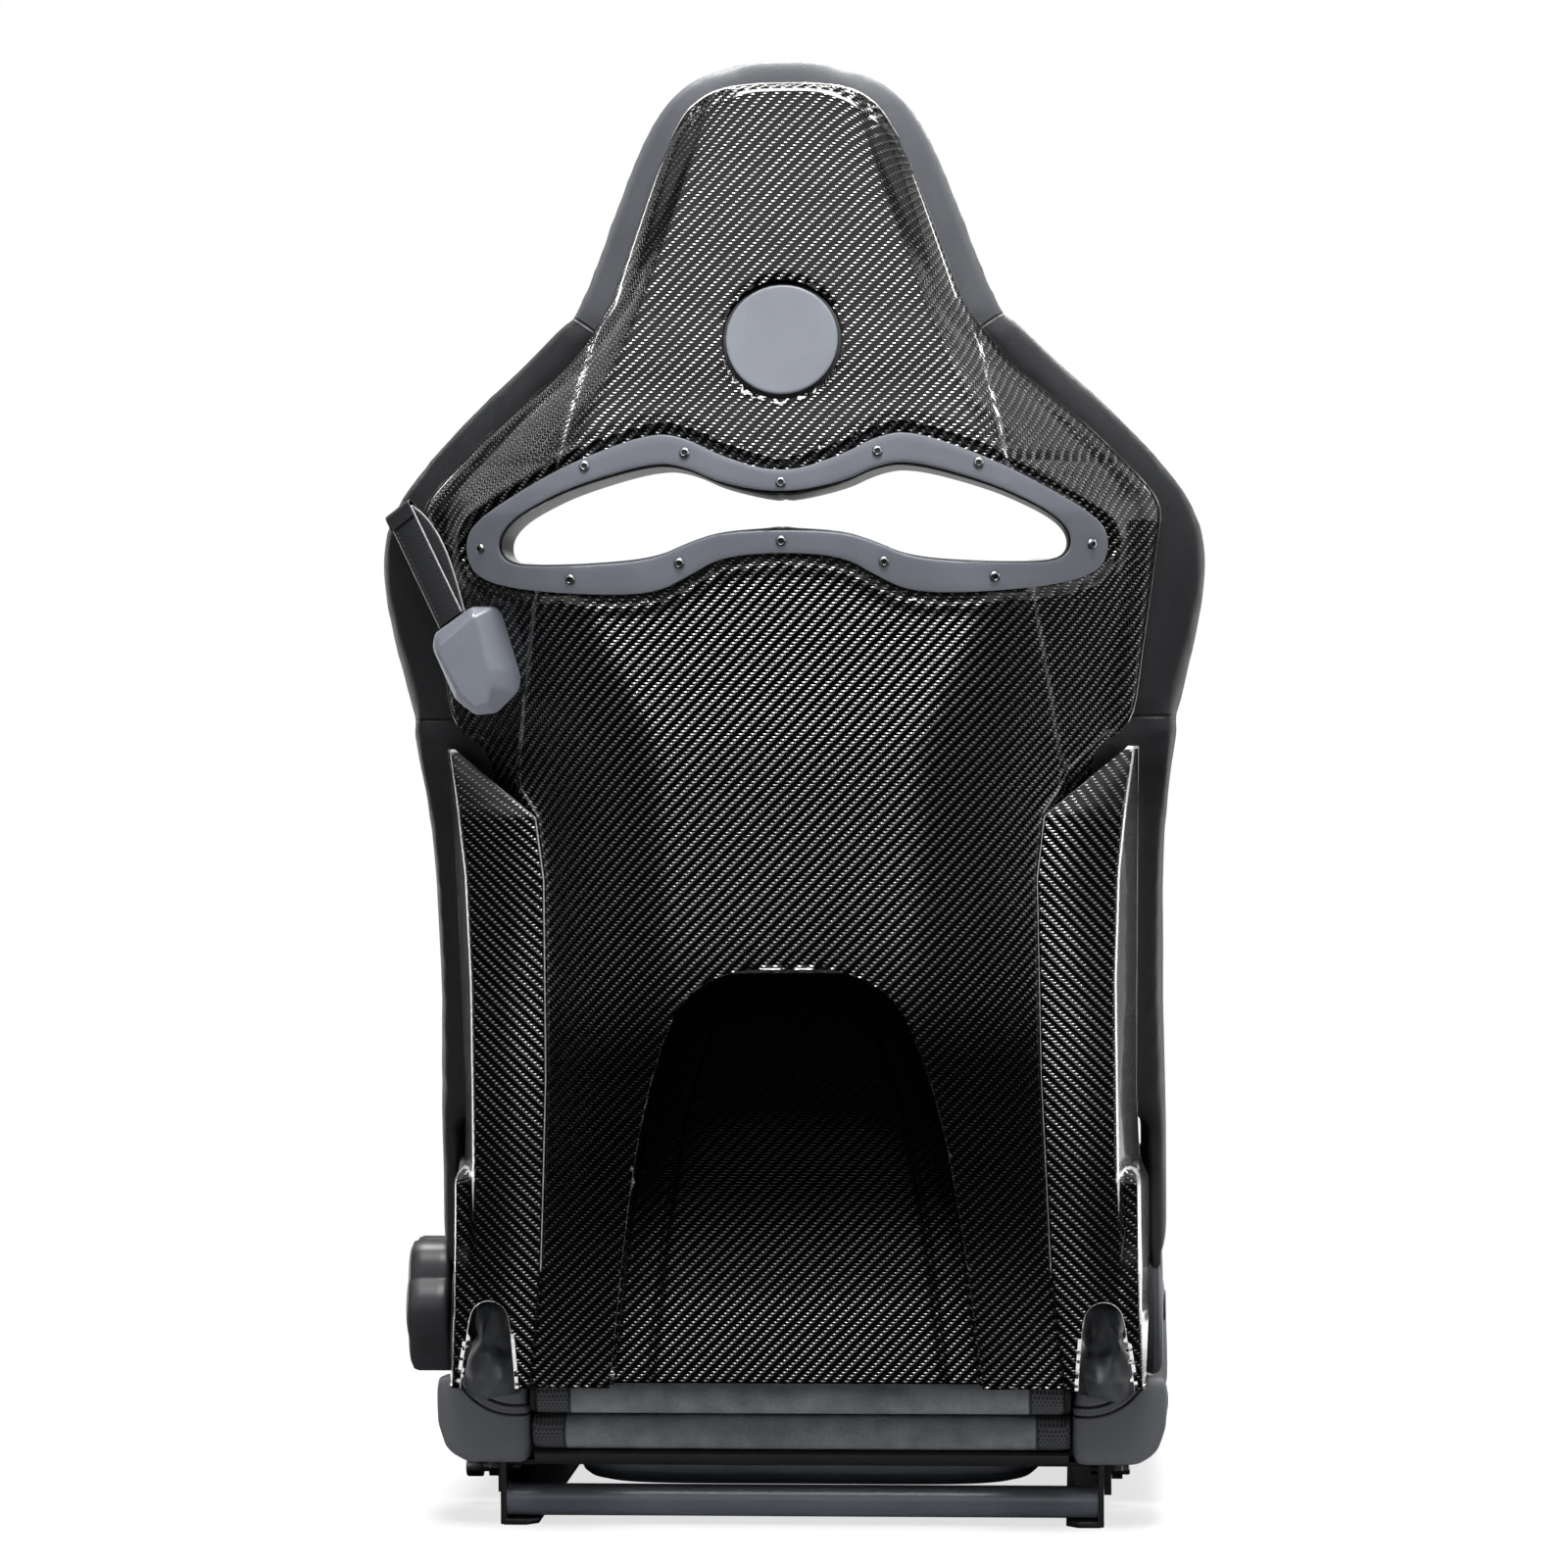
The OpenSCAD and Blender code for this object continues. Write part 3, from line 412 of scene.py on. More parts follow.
def walls(piece, thickness, bevel=0.5, segments=2, offset=-1, even=True):
    """A live wall thickness with rounded edges. Sheets with sharp tips need even off, or the
    wall shoots out there."""
    wall = piece.modifiers.new("Wall", "SOLIDIFY")
    wall.thickness = thickness * MM
    wall.offset = offset
    wall.use_even_offset = even
    if bevel:
        round_edges(piece, bevel, segments)


def rounder(piece):
    """A live smoothing of the mesh, one level deep"""
    sub = piece.modifiers.new("Smooth", "SUBSURF")
    sub.levels = sub.render_levels = 1


# ------------------------------------------------------------------ finishes

BLACK = (0.002, 0.002, 0.002)
# cells of leather grain and holes of the ventilation cloth to the metre
GRAIN, CLOTH_HOLES = 1000.0, 360.0
# numbers of the colour sockets of a Mix node
MIX_INPUTS, MIX_OUTPUT = (0, 6, 7), 2

def operator(operation, swapped=False):
    """A Python operator that adds a Math node"""
    def work(self, other):
        pair = (other, self) if swapped else (self, other)
        return self.finish.add("ShaderNodeMath", {"operation": operation}, *pair)
    return work


class Value:
    """A socket of a finish that Python operators work on"""

    def __init__(self, finish, socket):
        self.finish, self.socket = finish, socket

    __add__ = __radd__ = operator("ADD")
    __sub__, __rsub__ = operator("SUBTRACT"), operator("SUBTRACT", swapped=True)
    __mul__ = __rmul__ = operator("MULTIPLY")
    __truediv__ = operator("DIVIDE")
    __pow__ = operator("POWER")
    __lt__ = operator("LESS_THAN")
    largest = operator("MAXIMUM")

    def math(self, operation, *others):
        return self.finish.add("ShaderNodeMath", {"operation": operation}, self, *others)

    def size(self):
        return self.math("ABSOLUTE")

    def floor(self):
        return self.math("FLOOR")

    def fract(self):
        return self.math("FRACT")

    def wrap(self, length):
        return self.math("WRAP", length, 0.0)

    def clamp(self):
        return self.finish.add("ShaderNodeClamp", None, self)

    def hump(self):
        """From 0 at 0 to 1 in the middle and 0 at 1"""
        return 1 - (self * 2 - 1) ** 2

    def between(self, low, high):
        return self.finish.add("ShaderNodeMapRange", {"interpolation_type": "SMOOTHSTEP"}, self,
                               low, high, 0.0, 1.0)


class Finish:
    """One material, written as expressions"""

    def __init__(self, name, owner=None):
        self.material = owner or bpy.data.materials.new(name)
        self.material.use_nodes = True
        self.tree = self.material.node_tree
        self.tree.nodes.clear()

    def feed(self, socket, value):
        if isinstance(value, Value):
            self.tree.links.new(value.socket, socket)
        elif value is not None:
            if isinstance(value, tuple) and len(value) == 3 and socket.type == "RGBA":
                value = (*value, 1.0)
            socket.default_value = value

    def add(self, kind, settings=None, *inputs, output=0, **named):
        """A node: its settings, its inputs in order or by name, and the output to go on from"""
        node = self.tree.nodes.new(kind)
        for key, value in (settings or {}).items():
            setattr(node, key, value)
        for socket, value in zip(node.inputs, inputs):
            self.feed(socket, value)
        for key, value in named.items():
            self.feed(node.inputs[key.replace("_", " ")], value)
        return Value(self, node.outputs[output])

    def mix(self, factor, a, b):
        """From colour a to colour b"""
        node = self.tree.nodes.new("ShaderNodeMix")
        node.data_type = "RGBA"
        for number, value in zip(MIX_INPUTS, (factor, a, b)):
            self.feed(node.inputs[number], value)
        return Value(self, node.outputs[MIX_OUTPUT])

    def place(self):
        return self.add("ShaderNodeTexCoord", None, output="Object")

    def split(self, vector):
        node = self.tree.nodes.new("ShaderNodeSeparateXYZ")
        self.feed(node.inputs[0], vector)
        return [Value(self, out) for out in node.outputs]
    def in_mm(self, vector):
        return [part / MM for part in self.split(vector)]
    def stretch(self, vector, scale):
        return self.add("ShaderNodeMapping", None, vector, Scale=scale)

    def noise(self, vector, scale, detail=3.0, roughness=0.5):
        return self.add("ShaderNodeTexNoise", None, Vector=vector, Scale=scale, Detail=detail,
                        Roughness=roughness)

    def bump(self, height, distance, strength=1.0):
        return self.add("ShaderNodeBump", None, Height=height, Distance=distance,
                        Strength=strength)

    def end(self, surface, kind="ShaderNodeOutputMaterial"):
        """Closes the node tree with its output"""
        out = self.tree.nodes.new(kind)
        self.tree.links.new(surface.socket, out.inputs["Surface"])
        return self.material

    def done(self, **socket_shades):
        """Closes the finish with its surface; keys are socket names with _ for spaces"""
        return self.end(self.add("ShaderNodeBsdfPrincipled", None, **socket_shades))


def times(tone, factor):
    return tuple(c * factor for c in tone)


def shell_painted_light(x, y, z):
    """The back shell shines most at mid height and lies in shade beside and below the arch"""
    reach = x.size()
    high = z.between(640.0, 740.0)
    tone = 1.8 + 1.0 * reach.between(80.0, 140.0) - 1.15 * high
    tone = tone * (0.06 + 0.94 * z.between(320.0, 450.0))
    flank = reach.between(110.0, 150.0) * high * (1 - z.between(800.0, 860.0))
    return tone * (1 - 0.45 * flank) + 0.45 * (1 - z.between(130.0, 240.0))


def panel_painted_shade(x, y, z):
    """Deep in the arch the panel is dark but for its foot"""
    return 0.01 + 0.55 * (1 - z.between(150.0, 240.0))


def cover_painted_shine(foot, gain):
    """The side covers shine from mid height up, the right one more"""
    def tone(x, y, z):
        return foot + gain * z.between(230.0, 380.0)
    return tone


def carbon_twill(name, lean, tone):
    """Lacquered two by two twill: each level tow shows as a bright slanted grain, the upright
    tows stay dark and the rim is polished. lean +1 climbs to the right, -1 to the left."""
    look = bpy.context.scene.seat_looks
    f = Finish(name)
    weave = f.add("ShaderNodeAttribute", {"attribute_name": "weave"}, output="Vector")
    u, v, edge = f.split(weave)
    u, v = u / (look.tow / MM), v / (look.tow / MM)
    run = (u - v.floor() * lean).wrap(4.0)
    level = run < 2.0
    dx, dy = (run - 1.0) * float(lean), v.fract() - 0.5
    long_way, short_way = dx * 0.87 - dy * 0.5, dx * 0.5 + dy * 0.87
    grain = (1 - (long_way / 0.66) ** 2 - (short_way / 0.40) ** 2).between(0.0, 0.5)
    fibre = f.noise(f.stretch(weave, (0.3, 5.0, 0.0)), 1.0, 1.0)
    place = f.place()
    cloud = f.noise(place, 9.0, 2.0)
    x, y, z = f.in_mm(place)
    # lit: painted light and shade from tone, which scales the shine of the tows and the weight of
    # the coat
    lit = tone(x, y, z)
    # a painted highlight makes the rim pale where it is free: not round the badge, and less round
    # the arch
    badge = ((x ** 2 + (z - BADGE_Z) ** 2) ** 0.5).between(46.0, 50.0)
    arch = 0.25 + 0.75 * x.size().between(136.0, 142.0).largest(z.between(400.0, 410.0))
    painted_rim_highlight = (1 - edge.between(1.6, 2.6)) * badge * arch
    # painted highlights on the level tows and a faint painted sheen on the upright ones
    shine = level * (0.05 + grain) * (0.65 + 0.6 * fibre) * (0.75 + 0.5 * cloud) * lit
    shine = shine + (1 - level) * u.fract().hump() * 0.03
    shade = f.mix(shine.clamp(), (0.002, 0.002, 0.0022), tuple(look.carbon_tow))
    shade = f.mix(painted_rim_highlight, shade, (0.75, 0.74, 0.73))
    height = (level * v.fract().hump() + (1 - level) * u.fract().hump() * 0.8) * (1 - painted_rim_highlight)
    return f.done(Base_Color=shade, Metallic=0.95 - 0.8 * painted_rim_highlight, Roughness=0.26 - 0.06 * painted_rim_highlight,
                  Coat_Weight=lit.between(-0.1, 0.5), Coat_Roughness=0.05, Coat_IOR=1.4,
                  Normal=f.bump(height, 0.0005, 1.0))


def leather(name, tone, gloss=0.40, seams=None, sheen_share=None):
    """Grained leather. seams gives distances in mm to sewn joins from x, y and z in mm, and
    band the share of a lighter hide."""
    f = Finish(name)
    place = f.place()
    cell = f.add("ShaderNodeTexVoronoi", {"feature": "DISTANCE_TO_EDGE"}, Vector=place,
                 Scale=GRAIN)
    pore = f.noise(place, GRAIN * 2.2, 2.0)
    soft = f.noise(place, 14.0, 3.0)
    crease = f.noise(f.stretch(place, (1.0, 1.0, 2.2)), 60.0, 4.0)
    height = cell.between(0.0, 0.25) * 0.8 + pore * 0.25 + crease * 1.2
    shade = f.mix((soft * 0.7 + pore * 0.3).clamp(), times(tone, 0.7), times(tone, 1.35))
    if seams:
        spot = f.in_mm(place)
        groove = 0.0
        # painted sheen: a lighter colour stands in for the leather's shine where its share is high
        if sheen_share:
            light = f.mix(soft, (0.050, 0.053, 0.060), (0.085, 0.09, 0.10))
            shade = f.mix(sheen_share(*spot), shade, light)
        for reach in seams(*spot):
            groove = (1 - reach.size().between(0.25, 1.9)).largest(groove)
        shade = f.mix(groove.between(0.45, 0.95), shade, BLACK)
        height = height - groove * 9.0
    return f.done(Base_Color=shade, Roughness=gloss + 0.16 * soft - 0.06 * cell.between(0.0, 0.3),
                  Specular_IOR_Level=0.4, Normal=f.bump(height, 0.00022, 0.5))


def brushed_nap(f, place):
    """The nap of suede, its broad patches, and the mottling that both make, from 0 to 1"""
    nap = f.noise(place, 900.0, 2.0, 0.7)
    brushed = f.noise(f.stretch(place, (1.0, 1.0, 1.6)), 22.0, 3.0)
    patch = f.noise(place, 70.0, 3.0)
    return nap, patch, (nap * 0.35 + brushed * 0.35 + patch * 0.3).between(0.3, 0.72)


def suede(name, tone):
    """Soft cloth with a brushed nap"""
    f = Finish(name)
    nap, patch, blotch = brushed_nap(f, f.place())
    shade = f.mix(blotch, times(tone, 0.55), times(tone, 1.5))
    return f.done(Base_Color=shade, Roughness=0.93, Sheen_Weight=0.25, Sheen_Roughness=0.45,
                  Specular_IOR_Level=0.2, Normal=f.bump(nap + patch * 0.6, 0.0005, 0.45))


def roll_cloth(name, tone, zones, hide):
    """Suede with a patch of woven ventilation cloth near each end and leather beyond it.
    zones gives the two places along X, in mm, where the cloth starts and ends."""
    f = Finish(name)
    place = f.place()
    x, y, z = f.split(place)
    reach = x.size() / MM
    woven, skin = (reach.between(end - 0.4, end + 0.4) for end in zones)
    a, b = x * CLOTH_HOLES, (z - y) * CLOTH_HOLES
    offset = (b.floor() * 0.5).fract()
    hole = (((a + offset).fract() - 0.5) ** 2 + (b.fract() - 0.5) ** 2) ** 0.5
    rib = hole.between(0.14, 0.42)
    nap, patch, blotch = brushed_nap(f, place)
    suede_tone = f.mix(blotch, times(tone, 0.6), times(tone, 1.45))
    woven_tone = f.mix(rib * (0.6 + 0.6 * nap), (0.005, 0.005, 0.006), (0.045, 0.048, 0.055))
    shade = f.mix(skin, f.mix(woven, suede_tone, woven_tone), hide)
    first, second = (1 - (reach - end).size().between(0.3, 1.6) for end in zones)
    sewn = first.largest(second)
    shade = f.mix(sewn * 0.8, shade, BLACK)
    height = (1 - woven) * (nap + patch * 0.6) + woven * (1 - skin) * rib * 1.6 - sewn * 3.0
    return f.done(Base_Color=shade, Roughness=0.92 - 0.12 * woven - 0.30 * skin,
                  Normal=f.bump(height, 0.0005, 0.5))


def moulded(name, tone, gloss, grain=700.0, depth=0.00008, metallic=0.0):
    """Moulded plastic, paint or powder coat: one colour with a fine grain and faint mottling"""
    f = Finish(name)
    place = f.place()
    fine = f.noise(place, grain, 3.0, 0.6)
    broad = f.noise(place, 18.0, 2.0)
    shade = f.mix((fine * 0.5 + broad * 0.5).between(0.25, 0.75), times(tone, 0.85),
                  tuple(min(1, c) for c in times(tone, 1.15)))
    return f.done(Base_Color=shade, Metallic=metallic, Roughness=gloss + 0.10 * (broad - 0.5),
                  Normal=f.bump(fine, depth, 0.6))


def turned_steel(name, tone, gloss=0.3):
    """Bright steel with fine lines from the tool"""
    f = Finish(name)
    place = f.place()
    lines = f.noise(f.stretch(place, (1400.0, 60.0, 60.0)), 1.0, 2.0)
    stain = f.noise(place, 45.0, 3.0)
    shade = f.mix(stain, times(tone, 0.75), tone)
    return f.done(Base_Color=shade, Metallic=1.0, Roughness=gloss + 0.14 * lines,
                  Normal=f.bump(lines, 0.00004, 0.5))


FINISHES = {}


def finish(name):
    return FINISHES[name]


def corner_seams(x, y, z):
    """Two rows of sewing that sweep round each rear corner of the seat"""
    across = ((x.size() - CORNER_X) / CORNER_RX).largest(0.0)
    down = ((CORNER_Z - z) / CORNER_RZ).largest(0.0)
    ring = ((across ** 2 + down ** 2) ** 0.5 - 1.0) * CORNER_RZ
    inner = y.between(-60.0, 0.0) * FAR_OFF
    return [ring + inner, ring + 6.5 + inner]


def over_head_seam(reach, z):
    """Height over the headrest's sewn join"""
    return z - HEAD_SEAM_Z - (reach - HEAD_SEAM_X) * HEAD_SEAM_RISE


def backrest_seams(x, y, z):
    """The sewn joins of the headrest with the shoulders and of the shoulders with the sides"""
    front = (1 - y.between(-330.0, -300.0)) * FAR_OFF
    return [over_head_seam(x.size(), z), z - TORSO_SEAM_Z + front]


def headrest_painted_sheen(x, y, z):
    """Where the back of the headrest is, behind its front face and above the seam"""
    return over_head_seam(x.size(), z).between(-0.4, 0.4) * (1 - y.between(-318.0, -300.0))


def rear_corner_painted_sheen(x, y, z):
    """The rear corners of the seat, which shine"""
    return 1 - y.between(-215.0, -120.0)


def mix_finishes():
    look = bpy.context.scene.seat_looks
    hide, nap, slate = tuple(look.leather), tuple(look.suede), tuple(look.slate)
    # each carbon finish: the way its twill leans and its painted light and shade
    for key, lean, tone in (("shell", 1, shell_painted_light), ("panel", 1, panel_painted_shade),
                            ("cover_right", -1, cover_painted_shine(0.45, 2.4)),
                            ("cover_left", -1, cover_painted_shine(0.5, 1.2))):
        FINISHES[f"twill_{key}"] = carbon_twill(f"carbon_twill_{key}", lean, tone)
    FINISHES.update({
        "leather": leather("leather_black", hide),
        "leather_back": leather("leather_backrest", hide, seams=backrest_seams,
                                sheen_share=headrest_painted_sheen),
        "leather_seat": leather("leather_seat", times(hide, 1.6), seams=corner_seams,
                                sheen_share=rear_corner_painted_sheen),
        "leather_soft": leather("leather_crumpled", times(hide, 3.2), 0.30),
        "suede": suede("suede_charcoal", nap),
        "roll_upper": roll_cloth("roll_cloth_upper", times(nap, 2.2), (158.0, 181.0), hide),
        "roll_lower": roll_cloth("roll_cloth_lower", times(nap, 2.2), (162.5, 189.0), hide),
        "slate": moulded("slate_satin", slate, 0.46, 1500.0),
        "badge": moulded("slate_badge", times(slate, 1.45), 0.42, 1500.0),
        "handle": moulded("slate_handle", times(slate, 1.9), 0.34, 1500.0, metallic=0.3),
        # light grey beads that stand in for the highlights along the strap's edges: painted
        # highlight
        "edge_highlights": moulded("strap_edge_highlight", (0.30, 0.30, 0.31), 0.35, 1500.0),
        "powder": moulded("powder_black", (0.012, 0.012, 0.013), 0.36, 500.0, 0.0002),
        "tube": moulded("powder_blue_black", (0.085, 0.093, 0.11), 0.30, 500.0, 0.0001),
        "tray": moulded("tray_charcoal", (0.20, 0.22, 0.26), 0.45, 900.0, 0.0001),
        "plastic": moulded("plastic_black", (0.013, 0.013, 0.014), 0.42, 900.0, 0.0001),
        "knob": moulded("knob_black", (0.020, 0.021, 0.024), 0.40, 1200.0, 0.00006),
        "zinc": turned_steel("zinc_plate", (0.52, 0.52, 0.53)),
        "screw": turned_steel("screw_steel", (0.55, 0.55, 0.57), 0.26),
        # near-black painted shade in the screw sockets and round the badge
        "socket": moulded("socket_painted_shade", (0.004, 0.004, 0.004), 0.6),
        "thread": moulded("thread_black", (0.030, 0.030, 0.032), 0.6, 3000.0),
    })


# ------------------------------------------------------------------ carbon pieces

def grown(x, width, curl):
    """Rolls the last few mm of a sheet forward: how far the face turns in at x"""
    t = np.clip((np.abs(x) - (width - curl)) / curl, 0, 1)
    return curl * (1 - np.sqrt(np.clip(1 - t * t, 0, 1)))


def build_back_shell():
    # how far the sides curl and the top edge rolls forward, and how far the free rim is raised
    curl, roll, proud = 5.0, 8.0, 5.0

    def place(u, v):
        z = SHELL_FOOT + (SHELL_TOP - SHELL_FOOT) * (v + 1) / 2
        # the rows bend over to follow the round top edge
        bend = np.clip((z - TOP_BEND_Z) / (SHELL_TOP - TOP_BEND_Z), 0, 1) ** 2
        z = z - TOP_DROP * np.abs(u) ** TOP_POWER * bend
        width = shell_w(z)
        # the columns crowd together towards the rim
        x = np.sign(u) * (np.abs(u) + 0.13 * np.sin(math.pi * np.abs(u))) * width
        # above the side covers the rim stands proud of the leather
        lift = proud * step_up(z, 535, 575) * step_up(np.abs(x), width - 20, width - 7)
        below = SHELL_TOP - TOP_DROP * np.abs(x / TOP_HALF) ** TOP_POWER - z
        t = np.clip(1 - below / roll, 0, 1)
        y = shell_face(x, z) + grown(x, width, curl) + roll * 0.7 * (1 - np.sqrt(1 - t * t)) - lift
        return np.stack([x, y, z], 1)

    bm = sheet(200, 246, place)
    for loop in (SLOT_LOOP, ARCH_LOOP, BADGE_LOOP):
        cut(bm, loop, shell_face)
    shell = make("back_shell_skin", bm, finish("twill_shell"), "back_shell", smooth=180)
    walls(shell, 2.6, 0.9, 3, even=False)


def arch_half_width(z):
    """Half the width of the arch in the shell"""
    return np.interp(z, *np.array(ARCH_ROWS, float).T)


def build_center_panel():
    """The deeper panel behind the arch, with its side walls and a stiffening rib on each side"""
    foot, tall, lip, behind = 104, 282, 7.0, 4.2
    # Y of the floor at its foot, the height from which it leans back, and by how much
    floor, lean_z, lean = -268.5, 164, 0.085
    rib_high, rib_wide, rib_inset = 1.6, 2.0, 24
    # shares of the way out at which the floor ends and the lip starts
    floor_end, lip_start = 0.84, 0.94

    def place(u, v):
        z = foot + (v + 1) / 2 * tall
        width = arch_half_width(z) - 2.0
        edge_y = shell_y(width + lip, z) + behind
        floor_y = floor - np.clip(z - lean_z, 0, None) * lean
        s = np.abs(u)
        x = np.where(s > lip_start, width + (s - lip_start) / 0.06 * lip,
                     np.minimum(s / floor_end, 1) * width)
        depth = 1 - step_up(s, 0.82, 0.95)
        rib = rib_high * np.exp(-((s * width / floor_end - (width - rib_inset)) / rib_wide) ** 2)
        y = edge_y + (floor_y - edge_y) * depth + rib
        return np.stack([np.sign(u) * x, y, z], 1)

    panel = make("center_panel", sheet(168, 90, place), finish("twill_panel"),
                 "lower_center_panel", smooth=180)
    walls(panel, 2.0, 0.5)


def build_side_cover(side):
    """Creased cover over the hinge, with the pod and the notch for the boot at its foot"""
    sign = SIDES[side]
    top, foot = 536.0, 102.0
    # shares of the way across at which the section turns: inner edge, fold, pod, outer edge
    turns = np.array([0, 0.58, 0.66, 0.84, 1.0])
    # the sheet keeps this far behind the shell's face along its inner edge
    behind = 3.6

    def place(u, v):
        z = foot + (v + 1) / 2 * (top - foot)
        xi = lookup(z, COVER_IN_X)
        xf, yf = ease(z, COVER_FOLD_X, 6), ease(z, COVER_FOLD_Y, 6)
        xo, yo = lookup(z, COVER_OUT_X), lookup(z, COVER_OUT_Y)
        # above its upper inner corner the cover keeps to its own plane and stands off the shell
        inner = np.minimum(xi, 169.0)
        flat_y = shell_face(inner, z) - behind
        flat_y = flat_y + (yf - flat_y) * np.clip((xi - inner) / (xf - inner), 0, 1)
        yi = flat_y * 0.7 + (shell_face(xi, z) - behind) * 0.3
        # below the crease a pod swells out over the hinge, with a step that fades downwards
        pod = 1 - step_up(z, 241, 258)
        drop = 9.0 * step_up(z, 168, 240)
        shelf = [np.minimum(xf + 3.5, xo - 3), np.minimum(xf + 14.5, xo - 1.5)]
        xs = [xi, xf] + [xf + (xo - xf) * k * (1 - pod) + (spot - xf) * pod
                         for k, spot in zip((0.2, 0.6), shelf)] + [xo]
        ys = [yi, yf] + [yf + (yo - yf) * k * (1 - pod) + rise * pod
                         for k, rise in zip((0.2, 0.6), (drop, drop + 1.5))] + [yo]
        x, y, row = np.zeros(z.shape), np.zeros(z.shape), np.arange(len(z))
        # the mean of five readings side by side takes the edge off the turns
        for shift in (-0.026, -0.013, 0, 0.013, 0.026):
            s = np.clip((u * sign + 1) / 2 + shift, 0, 1)
            k = np.clip(np.searchsorted(turns, s, side="right") - 1, 0, 3)
            t = (s - turns[k]) / (turns[k + 1] - turns[k])
            for total, knots in ((x, np.array(xs)), (y, np.array(ys))):
                total += (knots[k, row] * (1 - t) + knots[k + 1, row] * t) / 5
        s = (u * sign + 1) / 2
        y = y - 2.5 * np.sin(math.pi * np.clip(s / 0.58, 0, 1)) * step_up(top - z, 0, 60)
        y = y + 3.0 * np.clip(1 - s / 0.03, 0, 1) ** 2
        return np.stack([sign * x, y, z], 1)

    bm = sheet(140, 210, place)
    weave = bm.verts.layers.float_vector["weave"]
    for vert in bm.verts:
        # the crease and the arch of the pod take the rim's painted highlight
        x, z = abs(vert.co.x) / MM, vert.co.z / MM
        crease = abs(x - float(ease(z, COVER_FOLD_X, 6)) - 0.6) * (1.9 if z > 250 else 1.0)
        if z < 250:
            crease += (250 - z) / 24
        arch = abs(math.hypot(x - 225.0, max(z - 243.0, 0)) - 7.6) * 1.2 + max(0, 175 - z) / 12
        vert[weave].z = min(vert[weave].z, crease + 0.9, arch + 0.9 if x > 222 or z > 243 else 99)
        # below 190 mm the painted highlight fades out
        if z < 190:
            vert[weave].z = max(vert[weave].z, (190 - z) / 4)
    notch = np.array([(190, 60), (190.5, 104), (192.5, 128), (194, 148), (196.5, 156),
                      (202, 160.5), (208, 162), (214, 160.5), (219.5, 156), (222, 148),
                      (225, 128), (229, 104), (230, 60)], float) * [sign, 1]
    cut(bm, resample(rounded(notch[::sign], 2)), nearby_face(bm))
    cover = make(f"side_cover_skin_{side}", bm, finish(f"twill_cover_{side}"),
                 f"side_cover_{side}", smooth=180)
    walls(cover, 2.4, 0.6, even=False)


def nearby_face(bm):
    """The Y of a sheet at x and z, from its three nearest vertices"""
    spots = np.array([tuple(v.co) for v in bm.verts]) / MM

    def face(x, z):
        found = []
        for px, pz in zip(np.atleast_1d(x), np.atleast_1d(z)):
            d = np.hypot(spots[:, 0] - px, spots[:, 2] - pz)
            near = np.argpartition(d, 3)[:3]
            share = 1 / (d[near] + 0.05)
            found.append((spots[near, 1] * share).sum() / share.sum())
        return np.array(found)
    return face


def ring_strip(outer, inner, profile, around, face):
    """A band between two loops: profile rows are [share of the way in, height above the face]"""
    outer, inner = (resample(loop, around) for loop in (outer, inner))
    outer, inner = (np.vstack([loop, loop[:1]]) for loop in (outer, inner))
    profile = np.array(profile, float)
    rows = len(profile) - 1

    def place(u, v):
        i, j = index(u, around), index(v, rows)
        t, h = profile[j, 0][:, None], profile[j, 1]
        spot = outer[i] * (1 - t) + inner[i] * t
        return np.stack([spot[:, 0], face(spot[:, 0], spot[:, 1]) - h, spot[:, 1]], 1)

    bm = sheet(around, rows, place)
    bmesh.ops.remove_doubles(bm, verts=bm.verts, dist=1e-6)
    return bm


def build_bezel():
    """Satin ring let into the shell round the slot"""
    def level(x, z):
        return shell_y(x, z) + BEZEL_SEAT

    profile = [[0, 0.3], [0, 4.4], [0.006, 5.0], [0.02, 5.5], [0.05, 5.7], [0.3, 5.75],
               [0.7, 5.75], [0.9, 5.7], [0.95, 5.5], [0.985, 4.8], [1.0, 3.6], [1.0, -1.0]]
    bm = ring_strip(BEZEL_LOOP, SLOT_LOOP * [0.992, 1], profile, 420, level)
    bezel = make("slot_bezel_ring", bm, finish("slate"), "slot_bezel", smooth=40)
    walls(bezel, 0.8, 0)


def outward(spots):
    """The way out from the middle of the slot"""
    way = spots - SLOT_MIDDLE
    return way / np.linalg.norm(way, axis=1)[:, None]


def build_slot_liner():
    """Leather tunnel through the slot, puffed between its ends, with a join on the middle line"""
    depth, gap = 64, 3.0
    around, rows = 380, 26
    ring = resample(SLOT_LOOP - outward(SLOT_LOOP) * gap, around)
    ring = np.vstack([ring, ring[:1]])

    def place(u, v):
        t = (v + 1) / 2
        spot = ring[index(u, around)]
        puff = 1.6 * np.sin(math.pi * t) ** 0.7
        seam = 1.2 * np.exp(-(spot[:, 0] / 2.2) ** 2)
        spot = spot - outward(spot) * (puff - seam - 1.0)[:, None]
        y = shell_y(spot[:, 0], spot[:, 1]) + 1.5 + t * depth
        return np.stack([spot[:, 0], y, spot[:, 1]], 1)

    liner = make("slot_tunnel", tube(around, rows, place, closed=False), finish("leather"),
                 "slot_liner", smooth=180)
    walls(liner, 1.6, 0, offset=0)


def hex_radius(angle, across):
    """Radius of a hexagon of the given width across flats"""
    sector = math.pi / 3
    return across / 2 / np.cos((angle + sector / 2) % sector - sector / 2)


